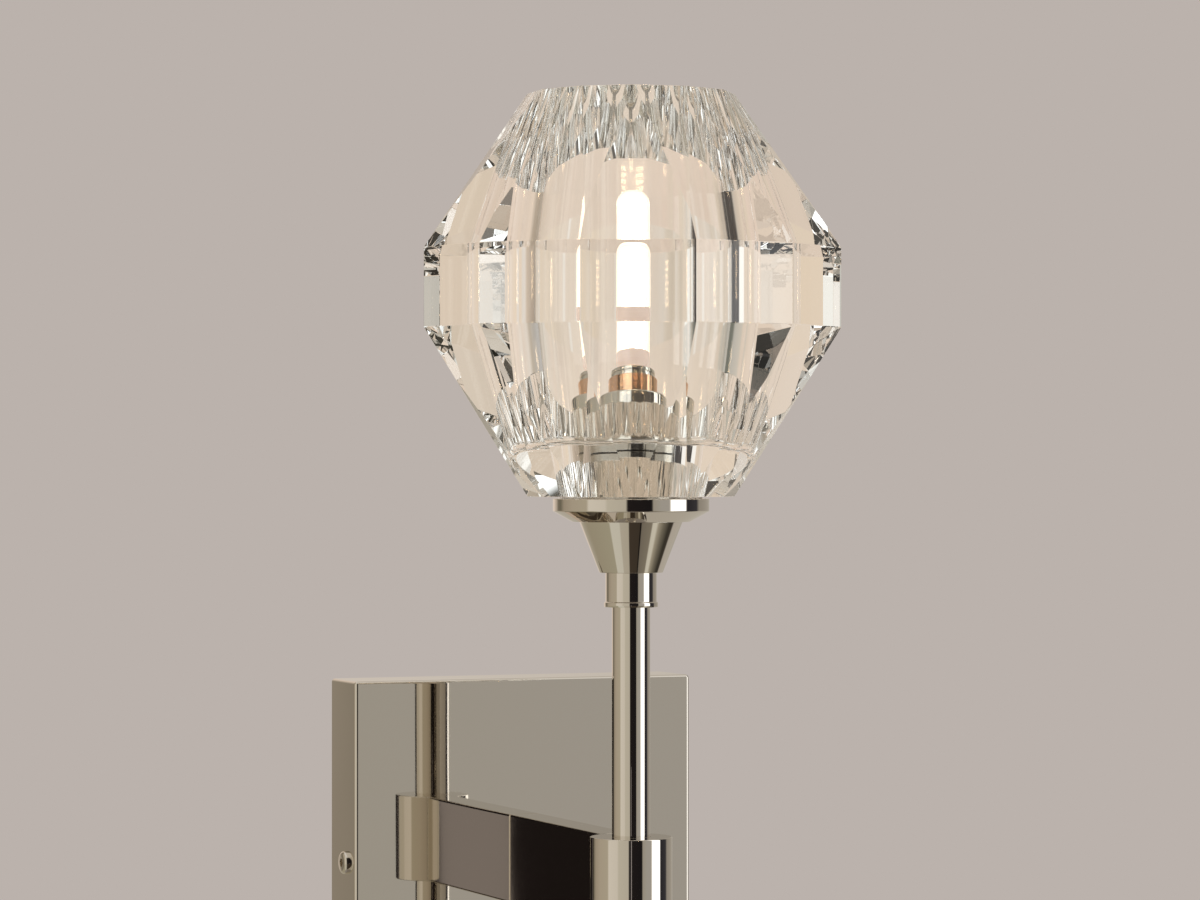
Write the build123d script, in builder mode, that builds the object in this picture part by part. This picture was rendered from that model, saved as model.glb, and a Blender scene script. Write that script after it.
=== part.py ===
from build123d import *
import os

# Crystal wall sconce, in millimetres. +Z is up, the front faces -Y and the wall is
# the plane y = 0. The origin is the middle of the backplate's open back.
# A square pan hangs on a strap bracket, a flat arm carries a round hub, and a stem
# stands in the hub with a cone, a dish and a thick cut-crystal shade on top of it.

os.makedirs("parts", exist_ok=True)

# ---- driving dimensions ------------------------------------------------------------

# Backplate pan and the strap bracket behind it
pan_width = 118.0
pan_height = 118.0
pan_depth = 23.0
pan_sheet = 1.5
pan_edge_r = 1.1
strap_width = 32.0
strap_sheet = 2.0
strap_bend_r = 2.5
strap_clear = 0.3
ear_reach = 19.0
ear_width = 18.0
slot_spacing = 79.4
slot_length = 14.0
slot_r = 2.2
cable_hole_r = 10.0
side_screw_from_wall = 14.3
side_screw_r = 2.0
side_head_r = 3.7
side_head_rise = 1.7
side_head_round = 1.2
side_socket_flats = 2.6
side_screw_length = 8.0
ground_at_x = -24.0
ground_screw_r = 2.0
ground_head_flats = 7.0
ground_head_rise = 3.0
ground_slot_length = 5.0
driver_slot = 0.9
hole_clear = 0.15
thread_clear = 0.03

# Flat arm, root block and hub
arm_width = 11.0
arm_height = 29.0
arm_wall = 1.8
arm_edge_r = 0.7
arm_reach = 88.0
root_block_length = 10.0
root_screw_r = 2.0
root_screw_spacing = 17.0
root_screw_length = 9.0
root_head_r = 3.6
root_head_rise = 2.4
root_head_round = 1.2
washer_r = 3.9
washer_sheet = 0.8
bushing_hole_r = 3.6
bushing_flange_r = 4.4
bushing_sheet = 0.8
hub_r = 12.7
hub_edge = 0.4
hub_socket_depth = 9.0
hub_wire_r = 4.6
seat_clear = 0.05

# Stem, collar and end cap
stem_r = 5.9
stem_bore_r = 4.3
stem_show = 70.7
lower_stem_show = 32.0
collar_r = 7.9
collar_height = 10.6
collar_lip_r = 8.3
collar_lip_height = 1.4
cap_height = 11.0
cap_dome_r = 2.5

# Cone cup and dish
cone_height = 15.6
cone_foot_r = 9.8
cone_top_r = 15.9
cone_wall = 1.6
cone_floor = 2.2
dish_r = 24.1
dish_under_r = 18.1
dish_under_height = 3.3
dish_rim_height = 3.9
dish_edge = 0.35
dish_spigot_r = 13.0
dish_spigot_height = 2.0
gasket_r = 22.0
gasket_sheet = 0.6

# Cut-crystal shade
facet_count = 12
shade_turn = 23.7
shade_base_r = 33.0
shade_band_r = 65.7
shade_rim_r = 33.1
shade_lower_height = 51.6
shade_band_height = 24.2
shade_upper_height = 48.2
break_base_flat_r = 30.8
break_rim_flat_r = 30.9
break_lower_growth = 0.695
break_upper_growth = 0.732
shade_bore_r = 28.4
shade_floor = 19.3
shade_floor_fillet = 2.6
shade_hole_r = 15.2

# Sleeve that centres the shade, and the threaded nipple with what it clamps
centring_sleeve_r = 15.0
centring_sleeve_wall = 1.5
centring_sleeve_short = 0.3
nipple_r = 4.95
nipple_bore_r = 3.4
nipple_engage = 12.0
clamp_gasket_r = 17.0
clamp_gasket_sheet = 0.4
clamp_washer_r = 17.2
clamp_washer_sheet = 0.8
clamp_nut_flats = 15.0
clamp_nut_height = 4.5

# Lampholder, its sleeve and the cup that hides it
cup_r = 16.1
cup_height = 20.5
cup_wall = 1.2
cup_edge_r = 0.8
foot_sheet = 1.6
holder_r = 10.4
holder_length = 21.2
holder_recess_width = 14.4
holder_recess_breadth = 8.0
holder_recess_depth = 4.6
holder_screw_r = 1.4
holder_screw_spacing = 13.4
holder_screw_length = 7.0
sleeve_r = 11.6
sleeve_length = 11.0
sleeve_clear = 0.1
ring_r = 10.45
ring_height = 3.2
ring_edge_r = 0.4
ring_groove_height = 0.4
ring_groove_depth = 0.4
ring_bore_r = 8.2

# Bulb with two wire-loop pins
bulb_r = 7.8
bulb_glass_wall = 0.9
bulb_glass_length = 19.7
bulb_dome_r = 3.6
bulb_base_height = 6.1
bulb_base_foot_r = 7.0
bulb_lift = 0.3
tenon_clear = 0.35
tenon_length = 3.6
pin_spacing = 9.0
pin_wire_r = 0.45
pin_loop_r = 0.95
pin_length = 11.0
pin_slack = 0.6
pin_rest = 1.5
column_r = 4.9
column_length = 16.8
column_sides = 6
chip_rows = 7
chip_width = 2.2
chip_height = 1.4
chip_rise = 0.5
contact_sheet = 0.5

# Insulated leads and their connectors
lead_r = 0.9
lead_gap = 1.4
lead_bend_r = 9.0
lead_root_bend_r = 6.75
ground_bend_r = 6.0
ground_end_bend_r = 3.0
nut_r = 5.2
nut_tip_r = 3.2
nut_length = 17.0
nut_clear = 0.5

# ---- places worked out from the driving dimensions -----------------------------------

stem_out = pan_depth + arm_reach
hub_top = arm_height / 2
collar_foot = hub_top + stem_show
cone_foot = collar_foot + collar_height
dish_foot = cone_foot + cone_height
dish_top = dish_foot + dish_under_height + dish_rim_height
shade_foot = dish_top + gasket_sheet
band_foot = shade_foot + shade_lower_height
band_top = band_foot + shade_band_height
shade_top = band_top + shade_upper_height
floor_top = shade_foot + shade_floor
clamp_foot = floor_top + clamp_gasket_sheet
nut_foot = clamp_foot + clamp_washer_sheet
foot_plate = nut_foot + clamp_nut_height
holder_foot = foot_plate + foot_sheet
holder_top = holder_foot + holder_length
cup_top = nut_foot + cup_height
ring_top = holder_top + ring_height
base_foot = ring_top + bulb_lift
glass_foot = base_foot + bulb_base_height
tenon_foot = holder_top - tenon_length + bulb_lift
hole_r = nipple_r + hole_clear
nut_height = pan_height / 2 - pan_sheet - nut_length - nut_clear
near = 0.01

stem_axis = Axis((0, -stem_out, 0), (0, 0, 1))
turned = Plane(origin=(0, -stem_out, 0), x_dir=(1, 0, 0), z_dir=(0, -1, 0))


def level(height):
    """Horizontal plane centred on the stem's axis."""
    return Plane(origin=(0, -stem_out, height), x_dir=(1, 0, 0), z_dir=(0, 0, 1))


# ---- backplate pan ---------------------------------------------------------------------

# A square box of sheet, open at the wall. Its front carries the arm, and one screw
# through each side holds it to the bracket's ears.
with BuildPart() as backplate_pan:
    with BuildSketch(Plane.XZ):
        Rectangle(pan_width, pan_height)
    extrude(amount=pan_depth)
    fillet(backplate_pan.edges().filter_by(Axis.Y), pan_edge_r)
    fillet(backplate_pan.faces().sort_by(Axis.Y)[0].edges(), pan_edge_r)
    with BuildSketch(Plane.XZ):
        Rectangle(pan_width - 2 * pan_sheet, pan_height - 2 * pan_sheet)
    extrude(amount=pan_depth - pan_sheet, mode=Mode.SUBTRACT)
    with BuildSketch(Plane.XZ):
        Circle(bushing_hole_r)
        with Locations((0, root_screw_spacing / 2), (0, -root_screw_spacing / 2)):
            Circle(root_screw_r + hole_clear)
    extrude(amount=pan_depth, mode=Mode.SUBTRACT)
    with BuildSketch(Plane.YZ):
        with Locations((-side_screw_from_wall, 0)):
            Circle(side_screw_r + hole_clear)
    extrude(amount=pan_width, both=True, mode=Mode.SUBTRACT)
backplate_pan.part.label = "backplate_pan"
export_step(backplate_pan.part, "parts/backplate_pan.step")

# ---- strap bracket ---------------------------------------------------------------------

strap_half = pan_width / 2 - pan_sheet - strap_clear

# A strip bent up at both ends. The slots take the outlet box's two screws.
with BuildPart() as wall_bracket:
    with BuildSketch(Plane.XZ):
        Rectangle(2 * strap_half, strap_width)
    extrude(amount=strap_sheet)
    with BuildSketch(Plane.XZ):
        with Locations((strap_half - strap_sheet / 2, 0), (strap_sheet / 2 - strap_half, 0)):
            Rectangle(strap_sheet, ear_width)
    extrude(amount=ear_reach)
    bends = wall_bracket.edges().filter_by(Axis.Z).filter_by(
        lambda edge: abs(abs(edge.center().X) - strap_half) < near and abs(edge.center().Y) < near)
    fillet(bends, strap_bend_r)
    with BuildSketch(Plane.XZ):
        with Locations((slot_spacing / 2, 0), (-slot_spacing / 2, 0)):
            SlotOverall(slot_length, 2 * slot_r)
        Circle(cable_hole_r)
        with Locations((ground_at_x, 0)):
            Circle(ground_screw_r + thread_clear)
    extrude(amount=strap_sheet, mode=Mode.SUBTRACT)
    with BuildSketch(Plane.YZ):
        with Locations((-side_screw_from_wall, 0)):
            Circle(side_screw_r + thread_clear)
    extrude(amount=pan_width, both=True, mode=Mode.SUBTRACT)
wall_bracket.part.label = "wall_bracket"
export_step(wall_bracket.part, "parts/wall_bracket.step")

# ---- side screws -----------------------------------------------------------------------

# Domed heads with a hex socket, one on each side of the pan.
with BuildPart() as side_screws:
    with BuildSketch(Plane.YZ.offset(pan_width / 2 - side_screw_length)):
        with Locations((-side_screw_from_wall, 0)):
            Circle(side_screw_r)
    extrude(amount=side_screw_length)
    with BuildSketch(Plane.YZ.offset(pan_width / 2)):
        with Locations((-side_screw_from_wall, 0)):
            Circle(side_head_r)
    extrude(amount=side_head_rise)
    head_rim = side_screws.edges().filter_by(GeomType.CIRCLE).sort_by(Axis.X)[-1]
    fillet(head_rim, side_head_round)
    with BuildSketch(Plane.YZ.offset(pan_width / 2 + side_head_rise)):
        with Locations((-side_screw_from_wall, 0)):
            RegularPolygon(side_socket_flats / 2, 6, major_radius=False)
    extrude(amount=-side_head_rise, mode=Mode.SUBTRACT)
    mirror(about=Plane.YZ)
side_screws.part.label = "side_screws"
export_step(side_screws.part, "parts/side_screws.step")

# ---- ground screw ----------------------------------------------------------------------

with BuildPart() as ground_screw:
    with BuildSketch(Plane.XZ):
        with Locations((ground_at_x, 0)):
            Circle(ground_screw_r)
    extrude(amount=strap_sheet)
    with BuildSketch(Plane.XZ.offset(strap_sheet)):
        with Locations((ground_at_x, 0)):
            RegularPolygon(ground_head_flats / 2, 6, major_radius=False)
    extrude(amount=ground_head_rise)
    with BuildSketch(Plane.XZ.offset(strap_sheet + ground_head_rise)):
        with Locations((ground_at_x, 0)):
            Rectangle(ground_slot_length, driver_slot)
    extrude(amount=-driver_slot, mode=Mode.SUBTRACT)
ground_screw.part.label = "ground_screw"
export_step(ground_screw.part, "parts/ground_screw.step")

# ---- flat arm --------------------------------------------------------------------------

# A rectangular tube whose front end is cut round, to sit against the hub.
with BuildPart() as arm:
    with BuildSketch(Plane.XZ.offset(pan_depth)):
        RectangleRounded(arm_width, arm_height, arm_edge_r)
        Rectangle(arm_width - 2 * arm_wall, arm_height - 2 * arm_wall, mode=Mode.SUBTRACT)
    extrude(amount=arm_reach)
    with BuildSketch(level(-arm_height)):
        Circle(hub_r)
    extrude(amount=2 * arm_height, mode=Mode.SUBTRACT)
arm.part.label = "arm"
export_step(arm.part, "parts/arm.step")

# ---- root block inside the arm ---------------------------------------------------------

# Fills the arm's wall end, tapped for the two screws that come through the pan.
with BuildPart() as root_block:
    with BuildSketch(Plane.XZ.offset(pan_depth)):
        Rectangle(arm_width - 2 * arm_wall, arm_height - 2 * arm_wall)
        Circle(lead_gap + lead_r + hole_clear)
        with Locations((0, root_screw_spacing / 2), (0, -root_screw_spacing / 2)):
            Circle(root_screw_r + thread_clear, mode=Mode.SUBTRACT)
    extrude(amount=root_block_length)
    with BuildSketch(Plane.XZ.offset(pan_depth)):
        Circle(lead_gap + lead_r + hole_clear)
    extrude(amount=root_block_length, mode=Mode.SUBTRACT)
root_block.part.label = "root_block"
export_step(root_block.part, "parts/root_block.step")

pan_inside = pan_depth - pan_sheet

with BuildPart() as root_washers:
    with BuildSketch(Plane.XZ.offset(pan_inside - washer_sheet)):
        with Locations((0, root_screw_spacing / 2), (0, -root_screw_spacing / 2)):
            Circle(washer_r)
            Circle(root_screw_r + hole_clear, mode=Mode.SUBTRACT)
    extrude(amount=washer_sheet)
root_washers.part.label = "root_washers"
export_step(root_washers.part, "parts/root_washers.step")

# Pan-head screws from inside the pan into the root block, with a cross slot each.
head_foot = pan_inside - washer_sheet
with BuildPart() as root_screws:
    with BuildSketch(Plane.XZ.offset(head_foot)):
        with Locations((0, root_screw_spacing / 2), (0, -root_screw_spacing / 2)):
            Circle(root_screw_r)
    extrude(amount=root_screw_length)
    with BuildSketch(Plane.XZ.offset(head_foot)):
        with Locations((0, root_screw_spacing / 2), (0, -root_screw_spacing / 2)):
            Circle(root_head_r)
    extrude(amount=-root_head_rise)
    rims = root_screws.edges().filter_by(GeomType.CIRCLE).group_by(Axis.Y)[-1]
    fillet(rims, root_head_round)
    with BuildSketch(Plane.XZ.offset(head_foot - root_head_rise)):
        with Locations((0, root_screw_spacing / 2), (0, -root_screw_spacing / 2)):
            Rectangle(root_head_r, driver_slot)
            Rectangle(driver_slot, root_head_r)
    extrude(amount=root_head_rise / 2, mode=Mode.SUBTRACT)
root_screws.part.label = "root_screws"
export_step(root_screws.part, "parts/root_screws.step")

# Plastic bushing that keeps the leads off the sheet's edge.
with BuildPart() as wire_bushing:
    with BuildSketch(Plane.XZ.offset(pan_inside - bushing_sheet)):
        Circle(bushing_flange_r)
    extrude(amount=bushing_sheet)
    with BuildSketch(Plane.XZ.offset(pan_inside)):
        Circle(bushing_hole_r - seat_clear)
    extrude(amount=pan_sheet)
    with BuildSketch(Plane.XZ.offset(pan_inside - bushing_sheet)):
        Circle(lead_gap + lead_r + hole_clear)
    extrude(amount=bushing_sheet + pan_sheet, mode=Mode.SUBTRACT)
wire_bushing.part.label = "wire_bushing"
export_step(wire_bushing.part, "parts/wire_bushing.step")

# ---- hub -------------------------------------------------------------------------------

# A round post, bored through for the leads, with a socket at each end for a stem.
with BuildPart() as hub:
    with BuildSketch(level(-hub_top)):
        Circle(hub_r)
    extrude(amount=arm_height)
    chamfer(hub.edges().filter_by(GeomType.CIRCLE), hub_edge)
    with BuildSketch(level(-hub_top)):
        Circle(hub_wire_r)
    extrude(amount=arm_height, mode=Mode.SUBTRACT)
    with BuildSketch(level(-hub_top)):
        Circle(stem_r + seat_clear)
    extrude(amount=hub_socket_depth, mode=Mode.SUBTRACT)
    with BuildSketch(level(hub_top)):
        Circle(stem_r + seat_clear)
    extrude(amount=-hub_socket_depth, mode=Mode.SUBTRACT)
    with BuildSketch(Plane.XZ.offset(stem_out - hub_r)):
        Circle(hub_wire_r - hub_edge)
    extrude(amount=hub_r, mode=Mode.SUBTRACT)
hub.part.label = "hub"
export_step(hub.part, "parts/hub.step")

# ---- stems -----------------------------------------------------------------------------

# The upper stem is a tube whose head is opened out for the nipple's thread.
stem_head = cone_foot
with BuildPart() as stem:
    with BuildSketch(level(hub_top - hub_socket_depth)):
        Circle(stem_r)
        Circle(stem_bore_r, mode=Mode.SUBTRACT)
    extrude(amount=stem_head - hub_top + hub_socket_depth)
    with BuildSketch(level(stem_head)):
        Circle(nipple_r + thread_clear)
    extrude(amount=-nipple_engage, mode=Mode.SUBTRACT)
stem.part.label = "stem"
export_step(stem.part, "parts/stem.step")

cap_top = -hub_top - lower_stem_show
with BuildPart() as lower_stem:
    with BuildSketch(level(hub_socket_depth - hub_top)):
        Circle(stem_r)
        Circle(stem_bore_r, mode=Mode.SUBTRACT)
    extrude(amount=-(hub_socket_depth + lower_stem_show + cap_height / 2))
lower_stem.part.label = "lower_stem"
export_step(lower_stem.part, "parts/lower_stem.step")

# Closed cap on the lower stem, with the collar's lip at its top and a rounded end.
with BuildPart() as end_cap:
    with BuildSketch(turned):
        with BuildLine():
            Polyline((0, cap_top), (collar_lip_r, cap_top),
                     (collar_lip_r, cap_top - collar_lip_height),
                     (collar_r, cap_top - collar_lip_height),
                     (collar_r, cap_top - cap_height + cap_dome_r))
            RadiusArc((collar_r, cap_top - cap_height + cap_dome_r),
                      (collar_r - cap_dome_r, cap_top - cap_height), -cap_dome_r)
            Polyline((collar_r - cap_dome_r, cap_top - cap_height), (0, cap_top - cap_height),
                     (0, cap_top))
        make_face()
    revolve(axis=stem_axis)
    with BuildSketch(level(cap_top)):
        Circle(stem_r + seat_clear)
    extrude(amount=-cap_height / 2, mode=Mode.SUBTRACT)
end_cap.part.label = "end_cap"
export_step(end_cap.part, "parts/end_cap.step")

# ---- collar, cone cup and dish -----------------------------------------------------------

with BuildPart() as collar:
    with BuildSketch(turned):
        with BuildLine():
            Polyline((stem_r + seat_clear, collar_foot), (collar_lip_r, collar_foot),
                     (collar_lip_r, collar_foot + collar_lip_height),
                     (collar_r, collar_foot + collar_lip_height),
                     (collar_r, cone_foot), (stem_r + seat_clear, cone_foot), close=True)
        make_face()
    revolve(axis=stem_axis)
collar.part.label = "collar"
export_step(collar.part, "parts/collar.step")

# A hollow turned cone on the collar, wider at the top.
with BuildPart() as cone_cup:
    with BuildSketch(turned):
        with BuildLine():
            Polyline((hole_r, cone_foot), (cone_foot_r, cone_foot), (cone_top_r, dish_foot),
                     (cone_top_r - cone_wall, dish_foot),
                     (cone_foot_r - cone_wall, cone_foot + cone_floor),
                     (hole_r, cone_foot + cone_floor), close=True)
        make_face()
    revolve(axis=stem_axis)
cone_cup.part.label = "cone_cup"
export_step(cone_cup.part, "parts/cone_cup.step")

# The dish's spigot drops into the cone, and its flat top carries the crystal.
with BuildPart() as dish:
    with BuildSketch(turned):
        with BuildLine():
            Polyline((hole_r, dish_foot - dish_spigot_height),
                     (dish_spigot_r, dish_foot - dish_spigot_height),
                     (dish_spigot_r, dish_foot),
                     (dish_under_r, dish_foot), (dish_r, dish_foot + dish_under_height),
                     (dish_r, dish_top - dish_edge), (dish_r - dish_edge, dish_top),
                     (hole_r, dish_top), close=True)
        make_face()
    revolve(axis=stem_axis)
dish.part.label = "dish"
export_step(dish.part, "parts/dish.step")

with BuildPart() as shade_gasket:
    with BuildSketch(level(dish_top)):
        Circle(gasket_r)
        Circle(shade_hole_r, mode=Mode.SUBTRACT)
    extrude(amount=gasket_sheet)
shade_gasket.part.label = "shade_gasket"
export_step(shade_gasket.part, "parts/shade_gasket.step")

# ---- cut-crystal shade -------------------------------------------------------------------

# One thick block of crystal in three tiers of flat facets: a cone that widens from the
# base, an upright band and a cone that narrows to the rim. Twelve more break facets are
# ground over the arrises of each cone, so the rim and the base turn by half a facet. A
# round bore comes down from the rim to a thick floor, and a wide hole goes through it.
shade_tiers = ((shade_foot, shade_base_r), (band_foot, shade_band_r),
               (band_top, shade_band_r), (shade_top, shade_rim_r))
break_tiers = ((shade_foot, break_base_flat_r),
               (band_foot, break_base_flat_r + break_lower_growth * shade_lower_height),
               (band_top, break_rim_flat_r + break_upper_growth * shade_upper_height),
               (shade_top, break_rim_flat_r))
half_facet = 180 / facet_count
with BuildPart() as crystal_shade:
    for height, corner_r in shade_tiers:
        with BuildSketch(level(height)):
            RegularPolygon(corner_r, facet_count, rotation=shade_turn)
    loft(ruled=True)
    for height, flat_r in break_tiers:
        with BuildSketch(level(height)):
            RegularPolygon(flat_r, facet_count, major_radius=False,
                           rotation=shade_turn + half_facet)
    loft(ruled=True, mode=Mode.INTERSECT)
    with BuildSketch(level(shade_top)):
        Circle(shade_bore_r)
    extrude(amount=floor_top - shade_top, mode=Mode.SUBTRACT)
    floor_rim = crystal_shade.edges().filter_by(GeomType.CIRCLE).sort_by(Axis.Z)[0]
    fillet(floor_rim, shade_floor_fillet)
    with BuildSketch(level(shade_foot)):
        Circle(shade_hole_r)
    extrude(amount=shade_floor, mode=Mode.SUBTRACT)
crystal_shade.part.label = "crystal_shade"
export_step(crystal_shade.part, "parts/crystal_shade.step")

# ---- centring sleeve, nipple and clamp -----------------------------------------------------

# A bright tube that stands on the dish and fills the hole in the crystal's floor. It
# stops just short of the floor's top, so that the clamp bears on the crystal alone.
with BuildPart() as centring_sleeve:
    with BuildSketch(level(dish_top)):
        Circle(centring_sleeve_r)
        Circle(centring_sleeve_r - centring_sleeve_wall, mode=Mode.SUBTRACT)
    extrude(amount=floor_top - centring_sleeve_short - dish_top)
centring_sleeve.part.label = "centring_sleeve"
export_step(centring_sleeve.part, "parts/centring_sleeve.step")

with BuildPart() as nipple:
    with BuildSketch(level(stem_head - nipple_engage)):
        Circle(nipple_r)
        Circle(nipple_bore_r, mode=Mode.SUBTRACT)
    extrude(amount=holder_foot - stem_head + nipple_engage)
nipple.part.label = "nipple"
export_step(nipple.part, "parts/nipple.step")

with BuildPart() as clamp_gasket:
    with BuildSketch(level(floor_top)):
        Circle(clamp_gasket_r)
        Circle(centring_sleeve_r - centring_sleeve_wall, mode=Mode.SUBTRACT)
    extrude(amount=clamp_gasket_sheet)
clamp_gasket.part.label = "clamp_gasket"
export_step(clamp_gasket.part, "parts/clamp_gasket.step")

with BuildPart() as clamp_washer:
    with BuildSketch(level(clamp_foot)):
        Circle(clamp_washer_r)
        Circle(hole_r, mode=Mode.SUBTRACT)
    extrude(amount=clamp_washer_sheet)
clamp_washer.part.label = "clamp_washer"
export_step(clamp_washer.part, "parts/clamp_washer.step")

with BuildPart() as clamp_nut:
    with BuildSketch(level(nut_foot)):
        RegularPolygon(clamp_nut_flats / 2, 6, major_radius=False)
        Circle(nipple_r + thread_clear, mode=Mode.SUBTRACT)
    extrude(amount=clamp_nut_height)
clamp_nut.part.label = "clamp_nut"
export_step(clamp_nut.part, "parts/clamp_nut.step")

# ---- lampholder ----------------------------------------------------------------------------

# A pressed foot is threaded on the nipple, and two screws hold the ceramic body to it.
with BuildPart() as holder_foot_plate:
    with BuildSketch(level(foot_plate)):
        Circle(holder_r)
        Circle(nipple_r + thread_clear, mode=Mode.SUBTRACT)
        with Locations((0, holder_screw_spacing / 2), (0, -holder_screw_spacing / 2)):
            Circle(holder_screw_r + thread_clear, mode=Mode.SUBTRACT)
    extrude(amount=foot_sheet)
holder_foot_plate.part.label = "holder_foot_plate"
export_step(holder_foot_plate.part, "parts/holder_foot_plate.step")

with BuildPart() as holder_screws:
    with BuildSketch(level(foot_plate)):
        with Locations((0, holder_screw_spacing / 2), (0, -holder_screw_spacing / 2)):
            Circle(holder_screw_r)
    extrude(amount=foot_sheet + holder_screw_length)
holder_screws.part.label = "holder_screws"
export_step(holder_screws.part, "parts/holder_screws.step")

slot_width = 2 * (pin_loop_r + pin_wire_r + pin_slack)
slot_breadth = 2 * (pin_wire_r + contact_sheet) + pin_slack
slot_foot = holder_top - holder_recess_depth - pin_length
with BuildPart() as lampholder:
    with BuildSketch(level(holder_foot)):
        Circle(holder_r)
    extrude(amount=holder_length)
    with BuildSketch(level(holder_top)):
        Rectangle(holder_recess_width, holder_recess_breadth)
    extrude(amount=-holder_recess_depth, mode=Mode.SUBTRACT)
    with BuildSketch(level(holder_top)):
        with Locations((pin_spacing / 2, 0), (-pin_spacing / 2, 0)):
            Rectangle(slot_width, slot_breadth)
    extrude(amount=slot_foot - holder_top, mode=Mode.SUBTRACT)
    with BuildSketch(level(holder_foot)):
        with Locations((0, holder_screw_spacing / 2), (0, -holder_screw_spacing / 2)):
            Circle(holder_screw_r + thread_clear)
    extrude(amount=holder_screw_length, mode=Mode.SUBTRACT)
lampholder.part.label = "lampholder"
export_step(lampholder.part, "parts/lampholder.step")

# A leaf each side of each pin loop, joined at the bottom of its slot.
with BuildPart() as holder_contacts:
    with BuildSketch(level(slot_foot)):
        with Locations((pin_spacing / 2, 0), (-pin_spacing / 2, 0)):
            Rectangle(slot_width - pin_slack, slot_breadth)
    extrude(amount=pin_length - pin_rest)
    with BuildSketch(level(slot_foot + contact_sheet)):
        with Locations((pin_spacing / 2, 0), (-pin_spacing / 2, 0)):
            Rectangle(slot_width, slot_breadth - 2 * contact_sheet)
    extrude(amount=pin_length, mode=Mode.SUBTRACT)
holder_contacts.part.label = "holder_contacts"
export_step(holder_contacts.part, "parts/holder_contacts.step")

# Thin metal sleeve round the top of the holder, which the cup's rim closes on.
with BuildPart() as holder_sleeve:
    with BuildSketch(level(holder_top - sleeve_length)):
        Circle(sleeve_r)
        Circle(holder_r + sleeve_clear, mode=Mode.SUBTRACT)
    extrude(amount=sleeve_length)
holder_sleeve.part.label = "holder_sleeve"
export_step(holder_sleeve.part, "parts/holder_sleeve.step")

# A bright ring on the holder's top, with a fine groove round its middle.
with BuildPart() as holder_ring:
    with BuildSketch(level(holder_top)):
        Circle(ring_r)
        Circle(ring_bore_r, mode=Mode.SUBTRACT)
    extrude(amount=ring_height)
    fillet(holder_ring.edges().filter_by(GeomType.CIRCLE).group_by(Axis.Z)[-1], ring_edge_r)
    with BuildSketch(level(holder_top + (ring_height - ring_groove_height) / 2)):
        Circle(ring_r)
        Circle(ring_r - ring_groove_depth, mode=Mode.SUBTRACT)
    extrude(amount=ring_groove_height, mode=Mode.SUBTRACT)
holder_ring.part.label = "holder_ring"
export_step(holder_ring.part, "parts/holder_ring.step")

# The bright cup stands on the clamp washer and hides the nut and the holder.
with BuildPart() as holder_cup:
    with BuildSketch(level(nut_foot)):
        Circle(cup_r)
    extrude(amount=cup_height)
    fillet(holder_cup.edges().filter_by(GeomType.CIRCLE).sort_by(Axis.Z)[-1], cup_edge_r)
    with BuildSketch(level(nut_foot)):
        Circle(cup_r - cup_wall)
    extrude(amount=cup_height - cup_wall, mode=Mode.SUBTRACT)
    with BuildSketch(level(cup_top)):
        Circle(sleeve_r + sleeve_clear)
    extrude(amount=-cup_wall, mode=Mode.SUBTRACT)
holder_cup.part.label = "holder_cup"
export_step(holder_cup.part, "parts/holder_cup.step")

# ---- bulb ------------------------------------------------------------------------------------

# Clear capsule over a six-sided column of light chips, on a moulded base with two
# wire-loop pins.
with BuildPart() as bulb_glass:
    for radius, dome_r, foot, top in (
            (bulb_r, bulb_dome_r, glass_foot, glass_foot + bulb_glass_length),
            (bulb_r - bulb_glass_wall, bulb_dome_r - bulb_glass_wall, base_foot,
             glass_foot + bulb_glass_length - bulb_glass_wall)):
        with BuildSketch(turned):
            with BuildLine():
                Polyline((radius - dome_r, top), (0, top), (0, foot), (radius, foot),
                         (radius, top - dome_r))
                RadiusArc((radius, top - dome_r), (radius - dome_r, top), -dome_r)
            make_face()
        revolve(axis=stem_axis, mode=Mode.ADD if radius == bulb_r else Mode.SUBTRACT)
bulb_glass.part.label = "bulb_glass"
export_step(bulb_glass.part, "parts/bulb_glass.step")

with BuildPart() as bulb_base:
    with BuildSketch(turned):
        with BuildLine():
            Polyline((0, base_foot), (bulb_base_foot_r, base_foot),
                     (bulb_r, base_foot + bulb_base_height / 2), (bulb_r, glass_foot),
                     (0, glass_foot), close=True)
        make_face()
    revolve(axis=stem_axis)
    with BuildSketch(level(tenon_foot)):
        Rectangle(holder_recess_width - 2 * tenon_clear, holder_recess_breadth - 2 * tenon_clear)
    extrude(amount=base_foot - tenon_foot)
bulb_base.part.label = "bulb_base"
export_step(bulb_base.part, "parts/bulb_base.step")

pin_foot = tenon_foot - pin_length + pin_rest
with BuildPart() as bulb_pins:
    for side in (-1, 1):
        middle = side * pin_spacing / 2
        with BuildLine() as loop:
            Line((middle - pin_loop_r, -stem_out, tenon_foot),
                 (middle - pin_loop_r, -stem_out, pin_foot + pin_loop_r))
            ThreePointArc((middle - pin_loop_r, -stem_out, pin_foot + pin_loop_r),
                          (middle, -stem_out, pin_foot),
                          (middle + pin_loop_r, -stem_out, pin_foot + pin_loop_r))
            Line((middle + pin_loop_r, -stem_out, pin_foot + pin_loop_r),
                 (middle + pin_loop_r, -stem_out, tenon_foot))
        with BuildSketch(Plane(origin=loop.line @ 0, z_dir=(0, 0, -1))):
            Circle(pin_wire_r)
        sweep(path=loop.line)
bulb_pins.part.label = "bulb_pins"
export_step(bulb_pins.part, "parts/bulb_pins.step")

with BuildPart() as light_column:
    with BuildSketch(level(glass_foot)):
        RegularPolygon(column_r, column_sides, major_radius=False)
    extrude(amount=column_length)
light_column.part.label = "light_column"
export_step(light_column.part, "parts/light_column.step")

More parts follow.
